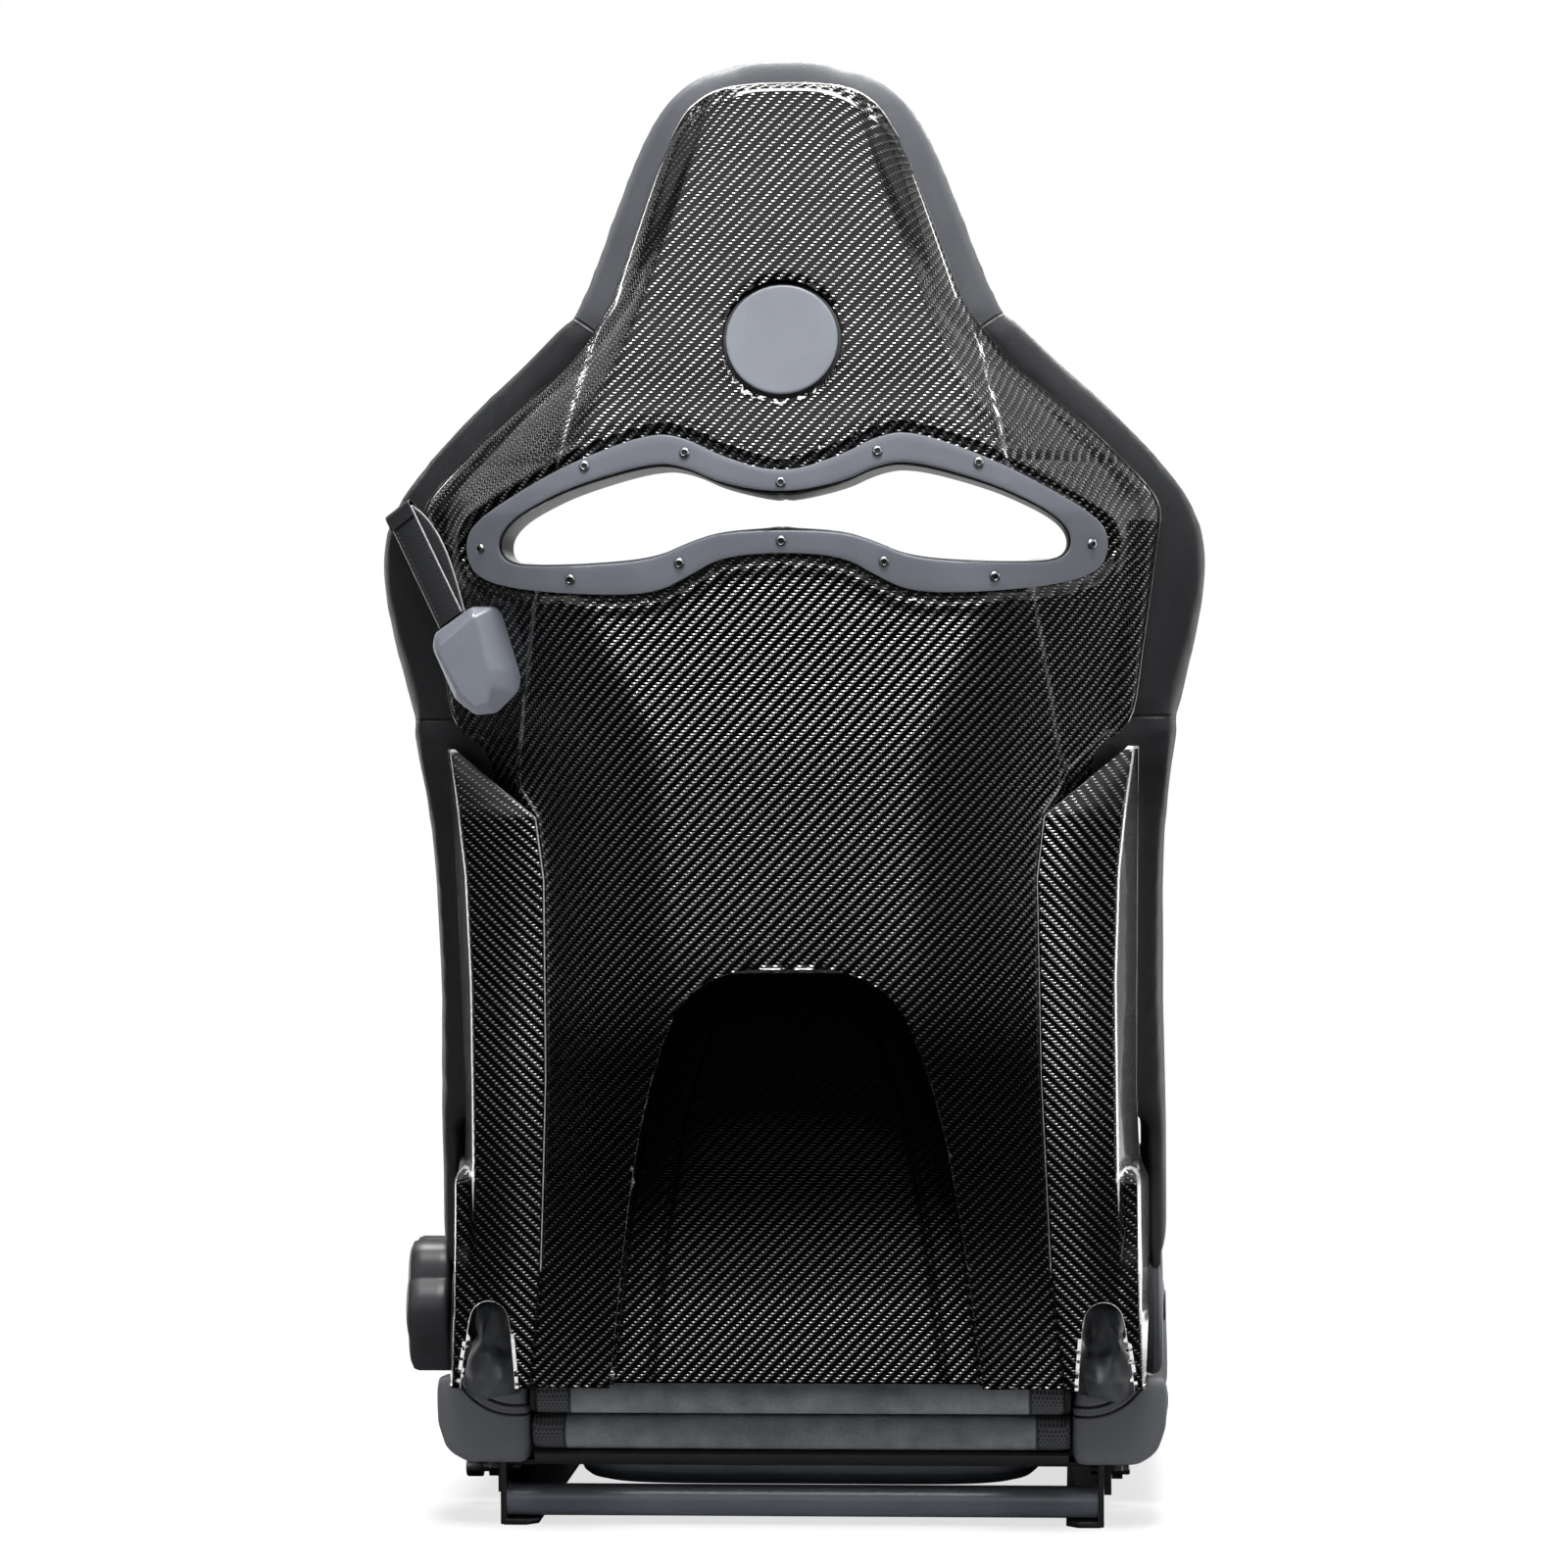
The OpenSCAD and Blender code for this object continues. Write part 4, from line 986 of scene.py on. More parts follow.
def button_head(r, across):
    """A domed screw head along +Z with the opening of a hexagon socket"""
    rows = [(1.0, 0.0), (1.0, 0.5), (0.95, 1.1), (0.84, 1.6), (0.72, 1.9), (0, 2.0), (1, 1.9),
            (1, 0.9)]

    def place(u, v):
        angle = u * math.pi
        j = index(v, len(rows) - 1)
        kind, z = np.array(rows)[j].T
        flat = hex_radius(angle, across)
        radius = np.select([j <= 4, j == 5], [kind * r, flat * 1.08], flat)
        return np.stack([radius * np.cos(angle), radius * np.sin(angle), z], 1)

    return tube(36, len(rows) - 1, place, closed=False)


def place_on_shell(bm, x, z, lift):
    """Turns a part built along +Z so that it stands on the shell, lifted by that many mm"""
    slope_x = float(shell_y(x + 1, z) - shell_y(x - 1, z)) / 2
    slope_z = float(shell_y(x, z + 1) - shell_y(x, z - 1)) / 2
    out = Vector((slope_x, -1, slope_z)).normalized()
    turn = Vector((0, 0, 1)).rotation_difference(out).to_matrix()
    bmesh.ops.rotate(bm, verts=bm.verts, matrix=turn)
    base = Vector((x, float(shell_y(x, z)) - lift, z)) * MM
    bmesh.ops.translate(bm, verts=bm.verts, vec=base)
    return bm


def build_screws():
    """Steel heads with the dark floor of each socket as a piece of its own"""
    lift = 3.5
    heads, socket_shades = [], []
    for sx, sz in SCREW_SPOTS:
        for sign in ([1, -1] if sx else [1]):
            heads.append(place_on_shell(button_head(3.6, 3.7), sign * sx, sz, lift))
            floor = bmesh.new()
            bmesh.ops.create_circle(floor, cap_ends=True, segments=24, radius=2.5 * MM,
                                    matrix=Matrix.Translation((0, 0, 1.2 * MM)))
            socket_shades.append(place_on_shell(floor, sign * sx, sz, lift))
    make("bezel_screw_heads", join(*heads), finish("screw"), "bezel_screws", smooth=35)
    make("bezel_screw_socket_shades", join(*socket_shades), finish("socket"), **place_of("bezel_screws"))


def build_badge():
    """Bare round plate with a rounded rim, in a dark seat"""
    lean = math.atan(float(shell_y(0, BADGE_Z + 30) - shell_y(0, BADGE_Z - 30)) / 60)

    def disc(profile):
        bm = lathe(profile, "Z", steps=128)
        bmesh.ops.rotate(bm, verts=bm.verts, matrix=Matrix.Rotation(math.pi / 2 - lean, 3, "X"))
        base = Vector((0, float(shell_y(0, BADGE_Z)), BADGE_Z)) * MM
        bmesh.ops.translate(bm, verts=bm.verts, vec=base)
        return bm

    plate = disc([[-2.4, 0], [-2.4, 36.4], [-1.2, 36.9], [0.3, 36.9], [0.75, 36.6], [0.98, 36.0],
                  [1.05, 35.2], [0.98, 33.8], [0.95, 0]])
    make("badge_plate", plate, finish("badge"), "badge_disc", smooth=40)
    # painted shade: a near-black ring fills the gap round the plate
    seat = disc([[-3.4, 30], [-3.4, 39.2], [-2.2, 39.2], [-1.8, 38.6], [-1.8, 37.2], [-2.4, 36.6],
                 [-2.6, 30]])
    make("badge_seat", seat, finish("socket"), **place_of("badge_disc"))


# ------------------------------------------------------------------ padding

def pad_start(nodes, voxel, grow=0.0):
    """A closed copy of the CAD solids of one pad, remeshed together into even cloth. They grow
    first by that many mm, so that pieces sewn to each other run together."""
    bm = bmesh.new()
    for node in nodes:
        bm.from_mesh(frame["nodes"][node].data)
    bmesh.ops.remove_doubles(bm, verts=bm.verts, dist=1e-5)
    pad = new_object("pad", bm)
    if grow:
        move_along_normals(pad, lambda co, no: np.full(len(co), grow))
    grid = pad.modifiers.new("Cloth grid", "REMESH")
    grid.mode = "VOXEL"
    grid.voxel_size = voxel * MM
    grid.use_smooth_shade = True
    relax = pad.modifiers.new("Relax", "SMOOTH")
    relax.factor = 0.5
    relax.iterations = 6
    freeze(pad)
    return pad


def freeze(piece):
    """Applies every modifier"""
    depsgraph = bpy.context.evaluated_depsgraph_get()
    depsgraph.update()
    mesh = bpy.data.meshes.new_from_object(piece.evaluated_get(depsgraph))
    old = piece.data
    piece.modifiers.clear()
    piece.data = mesh
    bpy.data.meshes.remove(old)


def coords(mesh):
    flat = np.zeros(len(mesh.vertices) * 3, np.float32)
    mesh.vertices.foreach_get("co", flat)
    return flat.reshape(-1, 3).astype(float)


def normals(mesh):
    flat = np.zeros(len(mesh.vertices) * 3, np.float32)
    mesh.vertex_normals.foreach_get("vector", flat)
    return flat.reshape(-1, 3).astype(float)


def set_coords(mesh, co):
    mesh.vertices.foreach_set("co", co.astype(np.float32).ravel())
    mesh.update()


def move_along_normals(piece, amount):
    """Moves each vertex by amount(coords in mm, normals) mm along its normal"""
    co, no = coords(piece.data), normals(piece.data)
    set_coords(piece.data, co + no * (amount(co / MM, no) * MM)[:, None])


SWELL_FRAMES = 20
CLOTH = {"quality": 4, "mass": 0.25, "tension_stiffness": 12, "compression_stiffness": 12,
         "bending_stiffness": 0.8, "use_pressure": True}


def swell(pads):
    """Blows the pads up as cloth. pads holds (piece, pressure, most it may move in mm, mask)"""
    scene = bpy.context.scene
    for pad, pressure, _, _ in pads:
        cloth = pad.modifiers.new("Cloth", "CLOTH")
        for key, value in CLOTH.items():
            setattr(cloth.settings, key, value)
        cloth.settings.uniform_pressure_force = pressure
        cloth.settings.effector_weights.gravity = 0
        cloth.point_cache.frame_start = 1
        cloth.point_cache.frame_end = SWELL_FRAMES
    for number in range(1, SWELL_FRAMES + 1):
        scene.frame_set(number)
    depsgraph = bpy.context.evaluated_depsgraph_get()
    for pad, _, most, mask in pads:
        before = coords(pad.data)
        blown = pad.evaluated_get(depsgraph).to_mesh()
        move = coords(blown) - before
        pad.evaluated_get(depsgraph).to_mesh_clear()
        length = np.linalg.norm(move, axis=1)[:, None] + 1e-9
        move *= np.minimum(1, most * MM / length)
        move *= mask(before / MM, normals(pad.data))[:, None]
        pad.modifiers.clear()
        set_coords(pad.data, before + move)
    scene.frame_set(1)


def press_seams(piece, seams, width, depth, mask=None):
    """Sinks sewn channels: seams is a list of distance functions of the coords in mm"""
    def amount(co, no):
        total = np.zeros(len(co))
        for seam in seams:
            total = np.maximum(total, np.exp(-(seam(co) / width) ** 2))
        if mask is not None:
            total = total * mask(co, no)
        return -depth * total
    move_along_normals(piece, amount)


def finish_pad(piece, name, nodes, material):
    """Names a swollen pad, gives it its cover and declares it"""
    piece.name = name
    piece.data.name = name
    piece.data.materials.clear()
    piece.data.materials.append(material)
    piece.data.shade_smooth()
    rounder(piece)
    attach(piece, frame["nodes"][nodes[0]]["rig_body"])
    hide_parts(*nodes)


def tree_of(piece):
    depsgraph = bpy.context.evaluated_depsgraph_get()
    return BVHTree.FromObject(piece, depsgraph)


def on_surface(tree, spots, toward):
    """Where rays from spots in mm along toward meet the surface: points and normals"""
    toward = Vector(toward).normalized()
    hits = []
    for spot in spots:
        start = Vector(spot) * MM - toward * 0.25
        place, normal, _, _ = tree.ray_cast(start, toward, 0.6)
        if place is not None:
            hits.append((place, normal))
    return hits


def stitches(name, runs, body, slot, pitch, length, thick):
    """Thread: short beads along runs of (point, normal) pairs, sized in mm"""
    bm = bmesh.new()
    for run in runs:
        if len(run) < 2:
            continue
        points, ways = (np.array([pair[k] for pair in run]) for k in (0, 1))
        reach = np.concatenate([[0], np.cumsum(np.linalg.norm(np.diff(points, axis=0), axis=1))])

        def read(values, at):
            return Vector([np.interp(at, reach, values[:, k]) for k in range(3)])

        for at in np.arange(pitch * MM / 2, reach[-1], pitch * MM):
            spot, normal = read(points, at), read(ways, at).normalized()
            along = read(points, at + MM) - spot
            if along.length < 1e-7:
                continue
            along.normalize()
            across = normal.cross(along).normalized()
            turn = Matrix((along, across, normal)).transposed().to_4x4()
            size = Matrix.Diagonal((length * MM / 2, thick * MM, thick * MM, 1))
            lift = Matrix.Translation(spot + normal * 0.1 * MM)
            bmesh.ops.create_icosphere(bm, subdivisions=1, radius=1.0, matrix=lift @ turn @ size)
    make(name, bm, finish("thread"), body=body, slot=slot, smooth=180)


def facing_front(co, no):
    return step_up(no[:, 1], 0.15, 0.6)


def front_and_rim(co, no):
    """All of the front, and a little of the outer rim"""
    return np.maximum(facing_front(co, no), 0.35 * step_up(np.abs(no[:, 0]), 0.4, 0.8))


def facing_back(co, no):
    return step_up(-no[:, 1], 0.2, 0.7)


PADS = {}


def swell_pads():
    """Every pad of the seat, blown up together"""
    def top(co, no):
        return step_up(no[:, 2], 0.3, 0.8)

    def nose(co, no):
        return step_up(co[:, 1], 215, 240)

    def above_plate(co, no):
        return step_up(co[:, 2], 60, 90)

    leather_ring = ("headrest_pad", "shoulder_pad_left", "shoulder_pad_right",
                    "torso_bolster_left", "torso_bolster_right")
    # first node, voxel and growth in mm, pressure, most it moves in mm, mask
    plan = [
        ("leather_ring", 6.0, 0.7, 2.5, 5.0, front_and_rim),
        ("slot_pad", 6.0, 0.0, 2.0, 4.0, facing_front),
        ("torso_pad", 6.0, 0.0, 4.0, 12.0, facing_front),
        ("cushion_center", 7.0, 0.0, 4.0, 14.0, top),
        ("cushion_nose", 6.0, 0.3, 2.5, 6.0, nose),
        ("cushion_bolster_left", 5.0, 0.3, 2.5, 5.0, above_plate),
        ("cushion_bolster_right", 5.0, 0.3, 2.5, 5.0, above_plate),
        ("rear_upper_roll", 3.5, 0.0, 2.0, 2.0, facing_back),
        ("rear_lower_roll", 3.5, 0.0, 2.0, 2.0, facing_back),
    ]
    batch = []
    for key, voxel, grow, pressure, most, mask in plan:
        nodes = leather_ring if key == "leather_ring" else (key,)
        PADS[key] = (pad_start(nodes, voxel, grow), nodes)
        batch.append((PADS[key][0], pressure, most, mask))
    swell(batch)


def channels(axis, places):
    """Straight sewn channels across the pad, one at each place in mm along the axis"""
    return [lambda co, place=place: co[:, axis] - place for place in places]


def between_sides(co):
    """1 over the suede in the middle, fading at its sides"""
    return step_up(CHANNEL_HALF - np.abs(co[:, 0]), 0, 8)


def finish_pads(rows):
    """Closes pads given as (pad, name of the piece, finish, fill)"""
    for key, name, look, fill in rows:
        finish_pad(PADS[key][0], name, PADS[key][1], finish(look))


def finish_backrest_pads():
    press_seams(PADS["torso_pad"][0], channels(2, range(222, 523, 60)), 5.0, 6.0,
                lambda co, no: facing_front(co, no) * between_sides(co))
    joins = [lambda co: over_head_seam(np.abs(co[:, 0]), co[:, 2]),
             lambda co: co[:, 2] - TORSO_SEAM_Z + FAR_OFF * (co[:, 1] < -320)]
    press_seams(PADS["leather_ring"][0], joins, 6.0, 1.8)
    # the slot pad stays behind the shell
    slot_mesh = PADS["slot_pad"][0].data
    co = coords(slot_mesh) / MM
    behind = shell_y(co[:, 0], co[:, 2]) + 13.0
    covered = np.abs(co[:, 0]) < shell_w(co[:, 2])
    co[:, 1] = np.where(covered, np.maximum(co[:, 1], behind), co[:, 1])
    set_coords(slot_mesh, co * MM)
    finish_pads((("leather_ring", "backrest_leather", "leather_back", 0.85),
                 ("slot_pad", "slot_cushion", "suede", 0.7),
                 ("torso_pad", "torso_cushion", "suede", 0.7)))


def finish_seat_pads():
    press_seams(PADS["cushion_center"][0], channels(1, range(-84, 157, 60)), 5.0, 6.0,
                lambda co, no: step_up(no[:, 2], 0.4, 0.8) * between_sides(co))
    finish_pads((("cushion_center", "seat_cushion", "suede", 0.7),
                 ("cushion_nose", "seat_nose", "leather", 0.8),
                 ("cushion_bolster_left", "seat_side_left", "leather_seat", 0.85),
                 ("cushion_bolster_right", "seat_side_right", "leather_seat", 0.85),
                 ("rear_upper_roll", "seat_back_roll_upper", "roll_upper", 0.8),
                 ("rear_lower_roll", "seat_back_roll_lower", "roll_lower", 0.8)))


# ------------------------------------------------------------------ boots

def build_boot(side):
    """Gathered leather sleeve round the hinge, with folds that fan out to the corner"""
    sign = SIDES[side]
    twist = 0.0 if sign > 0 else 1.3
    middle_x, middle_y, foot, tall = 209.5, -240, 92, 70

    def place(u, v):
        angle = u * math.pi
        t = (v + 1) / 2
        half_x = np.interp(t, [0, 0.2, 0.45, 0.7, 1], [18.5, 19.5, 17, 13.5, 12.5])
        half_y = np.interp(t, [0, 0.2, 0.45, 0.7, 1], [24, 29, 25, 19, 16])
        shrink = np.sqrt(np.clip(1 - ((t - 0.84) / 0.16).clip(0, 1) ** 2, 0.02, 1))
        loose = step_up(1 - t, 0.0, 0.4)
        fold = (1.9 * np.sin(3 * angle + 7 * t + twist) + 1.1 * np.sin(5 * angle - 11 * t + twist)
                + 0.6 * np.sin(8 * angle + 17 * t)) * loose
        pinch = 2.6 * np.exp(-((t - 0.52 - 0.05 * np.cos(angle)) / 0.06) ** 2)
        x = middle_x + (half_x + fold * 0.6 - pinch) * shrink * np.cos(angle)
        y = middle_y + (half_y + fold - pinch) * shrink * np.sin(angle)
        z = foot + tall * t + 1.5 * np.sin(2 * angle + 5 * t) * loose
        return np.stack([sign * x, y, z], 1)

    rounder(make(f"hinge_boot_sleeve_{side}", tube(84, 64, place), finish("leather_soft"),
                 f"hinge_boot_{side}", smooth=180))


def build_corner_thread(side):
    """Two rows of thread inside the double seam of the seat's rear corner"""
    sign = SIDES[side]
    tree = tree_of(PADS[f"cushion_bolster_{side}"][0])
    start_y, sweep = -238.0, np.linspace(-0.2, 1.75, 80)
    runs = []
    for inset in (2.2, 5.2):
        spots = [(sign * (CORNER_X + (CORNER_RX - inset) * math.cos(a)), start_y,
                  CORNER_Z - (CORNER_RZ - inset) * math.sin(a)) for a in sweep]
        runs.append(on_surface(tree, spots, (0, 1, 0)))
    body = place_of(f"cushion_bolster_{side}")["body"]
    stitches(f"corner_thread_{side}", runs, body, "leather_black", 3.8, 2.8, 0.32)


# ------------------------------------------------------------------ strap and handle

STRAP_TOP = (-264, -298, 698)
STRAP_LEN = 91.0
STRAP_W = 20.0
STRAP_T = 2.4
FOLD_R = 3.0


def strap_matrix():
    return (Matrix.Translation(Vector(STRAP_TOP) * MM)
            @ Matrix.Rotation(math.radians(-27.7), 4, "Y")
            @ Matrix.Rotation(math.radians(-20), 4, "X")
            @ Matrix.Rotation(math.radians(-20), 4, "Z"))


def fold_line(s, straight, radius):
    """A doubled strip, a distance s along it: Y and Z, the angle turned and the way down again"""
    turn = math.pi * radius
    before, after = s < straight, s > straight + turn
    angle = np.clip((s - straight) / turn, 0, 1) * math.pi
    down = np.clip(s - straight - turn, 0, None)
    y = np.where(before, -radius, np.where(after, radius, -radius * np.cos(angle)))
    z = np.where(before, s - straight, np.where(after, -down, radius * np.sin(angle)))
    return y, z, angle, down


def build_strap():
    """Doubled leather strap with a round fold at the top"""
    straight, radius = STRAP_LEN - 5, FOLD_R - STRAP_T / 2
    total = 2 * straight + math.pi * radius
    bead_r, sewn_x = 0.55, 7.4
    matrix = strap_matrix()

    def centre(s):
        """Middle line of the strap in its own X, Y and Z, and the way it faces. The far layer
        swings out to one side between the fold and the handle."""
        y, z, angle, down = fold_line(s, straight, radius)
        aside = 7.5 * np.sin(math.pi * np.clip(down / straight, 0, 1) ** 0.75)
        return aside, y, z - 5, angle

    def place(u, v):
        aside, y, z, angle = centre((v + 1) / 2 * total)
        # rounded flat section, pressed in along the sewing
        across = STRAP_W / 2 * squarish(np.cos(u * math.pi), 0.22)
        thick = STRAP_T / 2 * squarish(np.sin(u * math.pi), 0.8)
        thick = thick * (1 - 0.18 * np.exp(-((np.abs(across) - sewn_x) / 0.7) ** 2))
        return np.stack([across + aside, y - np.cos(angle) * thick, z + np.sin(angle) * thick], 1)

    def edge_of(side):
        def place(u, v):
            aside, y, z, angle = centre((v + 1) / 2 * total)
            spin = u * math.pi
            out = bead_r * np.cos(spin)
            x = side * (STRAP_W / 2 - 0.1) + bead_r * np.sin(spin) + aside
            return np.stack([x, y - np.cos(angle) * out, z + np.sin(angle) * out], 1)
        return tube(10, 110, place)

    strap = tube(64, 150, place)
    # light grey beads along both edges carry a painted highlight
    edge_highlights = join(edge_of(-1), edge_of(1))
    for bm in (strap, edge_highlights):
        bmesh.ops.transform(bm, matrix=matrix, verts=bm.verts)
    make("pull_strap_leather", strap, finish("leather"), "pull_strap", smooth=60)
    make("pull_strap_edge_highlights", edge_highlights, finish("edge_highlights"), body="pull", slot=SLOT_OF["pull_strap"],
         smooth=180)
    runs = []
    for x, face in ((-sewn_x, 1), (sewn_x, 1), (sewn_x, -1)):
        run = []
        for s in np.linspace(2 if face > 0 else total / 2, total - 2, 90):
            aside, y, z, angle = (float(a) for a in centre(np.array(s)))
            out = Vector((0, -math.cos(angle), math.sin(angle))) * face
            spot = matrix @ ((Vector((x + aside, y, z)) + out * 1.15) * MM)
            run.append((spot, matrix.to_3x3() @ out))
        runs.append(run)
    stitches("pull_strap_thread", runs, "pull", "leather_black", 3.6, 2.6, 0.3)


def build_sleeve():
    """Short leather loop, folded like the strap, that the strap slides out of"""
    half_w, radius, straight = STRAP_W / 2 + 0.7, FOLD_R + 1.0, 9.0

    def place(u, v):
        s = (v + 1) / 2 * (2 * straight + math.pi * radius)
        y, z, _, _ = fold_line(s, straight, radius)
        return np.stack([half_w * u, y, z - 3.0], 1)

    bm = sheet(20, 60, place)
    bmesh.ops.transform(bm, matrix=strap_matrix(), verts=bm.verts)
    bmesh.ops.recalc_face_normals(bm, faces=bm.faces)
    sleeve = make("strap_sleeve_leather", bm, finish("leather"), "strap_sleeve", smooth=180)
    walls(sleeve, 1.2, 0.45, offset=0)


def build_handle():
    """Satin pull handle: a paddle with a flat face, a chamfered rim and a rounded spine"""
    # corners in X, Y and Z, round the flat face, the rim and the back
    face = [(-230.1, -352, 605.5), (-209.0, -353, 624.2), (-205.3, -353, 625.0),
            (-202.6, -353, 617.0), (-197.0, -353, 589.0), (-196.2, -352.5, 578.0),
            (-198.3, -351.5, 566.5), (-206.1, -351.5, 563.0), (-216.5, -352, 572.3),
            (-231.4, -352, 600.6)]
    rim = [(-234.3, -346, 613.5), (-209.3, -346, 631.2), (-192.9, -343, 631.6),
           (-186.0, -340, 623.6), (-175.2, -337, 586.5), (-178.2, -337.5, 574.1),
           (-193.3, -341, 559.6), (-207.1, -345, 558.4), (-220.6, -346, 569.1),
           (-235.7, -346, 603.4)]
    middle = np.array(rim).mean(0)
    back = [tuple(middle + (np.array(spot) - middle) * [0.93, 0, 0.93] + [0, 9.5, 0])
            for spot in rim]
    bm = bmesh.new()
    loops = []
    for ring in (face, rim, back):
        verts = [bm.verts.new(Vector(spot) * MM) for spot in ring]
        loops.append([bm.edges.new(pair) for pair in zip(verts, verts[1:] + verts[:1])])
    for a, b in zip(loops, loops[1:]):
        bmesh.ops.bridge_loops(bm, edges=a + b)
    bmesh.ops.holes_fill(bm, edges=loops[0] + loops[2], sides=0)
    bmesh.ops.recalc_face_normals(bm, faces=bm.faces)
    grip = make("pull_handle_grip", bm, finish("handle"), "pull_handle", smooth=180)
    round_edges(grip, 3.4, 5, angle=8)
    grip.modifiers.new("Flats", "WEIGHTED_NORMAL")


# ------------------------------------------------------------------ recliner

def build_knob():
    """Lobed hand wheel with hollow finger grips"""
    y0, z0 = PIVOT
    rows, lobes, hollow = 36, 6, 6.2
    rail = np.array([[247.2, 16], [247.2, 46.5], [248.4, 48.8], [250.2, 49.6], [272, 49.6],
                     [275, 48.4], [276.8, 44.5], [276.8, 22], [275.4, 19.5], [275.4, 0]])
    corner = np.linspace(0, len(rail) - 1, rows + 1)
    rail = np.stack([np.interp(corner, range(len(rail)), rail[:, k]) for k in (0, 1)], 1)

    def place(u, v):
        angle = u * math.pi
        out, radius = rail[index(v, rows)].T
        lobe = (0.5 + 0.5 * np.cos(lobes * angle)) ** 0.55
        radius = radius - hollow * (1 - lobe) * np.clip((radius - 30) / 15, 0, 1)
        return np.stack([-out, y0 + radius * np.cos(angle), z0 + radius * np.sin(angle)], 1)

    bm = tube(216, rows, place, closed=False)
    make("hand_wheel_grip", bm, finish("knob"), "recliner_knob", smooth=40)


def build_hinge_trim():
    """Round covers of both hinges, the disc behind the hand wheel and the cap of the pivot"""
    centre = (0, *PIVOT)
    covers = {
        "left": ([[238, 19.6], [238, 45.3], [238.6, 46], [241.4, 46], [242.5, 45.2],
                  [242.9, 43.6], [243, 19.6]], "plastic"),
        "right": ([[236.5, 19.6], [236.5, 44], [238.5, 47], [243, 48.2], [246.6, 46.8],
                   [248.8, 43], [249.6, 37], [249.8, 19.6]], "leather_soft")}
    for side, (profile, look) in covers.items():
        collar = lathe([[232.5, 19.8], [232.5, 27.2], [239, 27.2]], centre=centre)
        bm = flip_side(join(lathe(profile, centre=centre, steps=96), collar), SIDES[side])
        make(f"hinge_cover_disc_{side}", bm, finish(look), f"hinge_cover_{side}")
    bm = lathe([[243.4, 7.2], [243.4, 43.2], [243.8, 43.8], [244.8, 43.8], [245.3, 43.2],
                [245.3, 7.2]], centre=centre, steps=96)
    make("knob_back_disc", flip_side(bm, -1), finish("plastic"), "knob_escutcheon")
    bm = lathe([[239, 0], [239, 19], [242.6, 19], [243.2, 18.2], [243.2, 11], [250.8, 10.9],
                [251.7, 10.2], [252, 9], [251.7, 7.6], [250.6, 6.6], [246.2, 6.2], [246, 0]],
               centre=centre)
    make("pivot_cap_button", bm, finish("plastic"), "pivot_cap_right")


# ------------------------------------------------------------------ base

def build_side_plate(side):
    """Angle rail with two floor holes, drilled and then frozen"""
    sign = SIDES[side]
    low, high = -230.0, 204.0
    web = extruded([(low, 0.5), (low + 4, 0), (high - 4, 0), (high, 0.5), (high, 46),
                    (high - 12, 58), (low + 14, 58), (low, 44)], 204, 208, 0.7)
    flange = extruded([(182, low + 8), (190, low), (206, low), (206, high), (190, high),
                       (182, high - 8)], 0, 4, 0.7, "Z")
    bm = flip_side(join(web, flange), sign)
    plate = make(f"side_plate_rail_{side}", bm, finish("powder"), f"side_plate_{side}")
    # the two floor holes, in metres
    hole_x, hole_y, hole_r = 0.194, 0.145, 0.00425
    bores = []
    for y in (-hole_y, hole_y):
        bore = bmesh.new()
        bmesh.ops.create_cone(bore, cap_ends=True, segments=48, radius1=hole_r, radius2=hole_r,
                              depth=0.02, matrix=Matrix.Translation((sign * hole_x, y, 0.002)))
        bores.append(bore)
    tool = new_object("bores", join(*bores))
    drill = plate.modifiers.new("Holes", "BOOLEAN")
    drill.operation = "DIFFERENCE"
    drill.solver = "EXACT"
    drill.use_self = True
    drill.object = tool
    freeze(plate)
    plate.data.set_sharp_from_angle(angle=math.radians(35))
    bpy.data.objects.remove(tool)


def build_bars():
    """Tubes across the base, flared where they are welded to the side plates"""
    for node, y in (("rear_crossbar", -217), ("front_crossbar", 188)):
        bar = lathe([[-203.9, 0], [-203.9, 12], [-202.8, 11.9], [-201.4, 11.2], [-200, 11],
                     [200, 11], [201.4, 11.2], [202.8, 11.9], [203.9, 12], [203.9, 0]],
                    centre=(0, y, BAR_Z))
        make(f"{node}_tube", bar, finish("tube"), node, smooth=50)


def build_under_tray():
    """Shallow moulded tray under the cushion with rounded corners"""
    # from the rim to the middle of the floor: share of the full size, and height
    path = np.array([[1.0, 39.5], [1.0, 34], [0.995, 29], [0.985, 24.8], [0.965, 21.8],
                     [0.93, 19.9], [0.88, 19.1], [0.5, 19.0], [0.0, 19.0]])
    half_x, half_y, middle_y, corner = 166, 168, -15, 0.32

    def place(u, v):
        t = (v + 1) / 2 * (len(path) - 1)
        size, z = (np.interp(t, range(len(path)), path[:, k]) for k in (0, 1))
        cx, cy = squarish(np.cos(u * math.pi), corner), squarish(np.sin(u * math.pi), corner)
        return np.stack([half_x * cx * size, middle_y + half_y * cy * size, z], 1)

    bm = tube(120, 32, place, closed=False)
    tray = make("under_tray_shell", bm, finish("tray"), "under_tray", smooth=60)
    walls(tray, 2.0, 0.4)


def build_trim_strip():
    """Moulding under the two rolls at the back of the seat"""
    bm = extruded([(-234, 45), (-231.5, 43), (-206, 43), (-206, 52), (-231, 52), (-234, 50)],
                  -184, 184, 0.6)
    make("rear_trim_moulding", bm, finish("plastic"), "rear_trim_strip")


def hex_nut(across, length, x0, y, z):
    r = across / 2 / math.cos(math.pi / 6)
    points = [(y + r * math.cos(math.pi / 3 * k), z + r * math.sin(math.pi / 3 * k))
              for k in range(6)]
    return extruded(points, x0, x0 + length, 0.5)


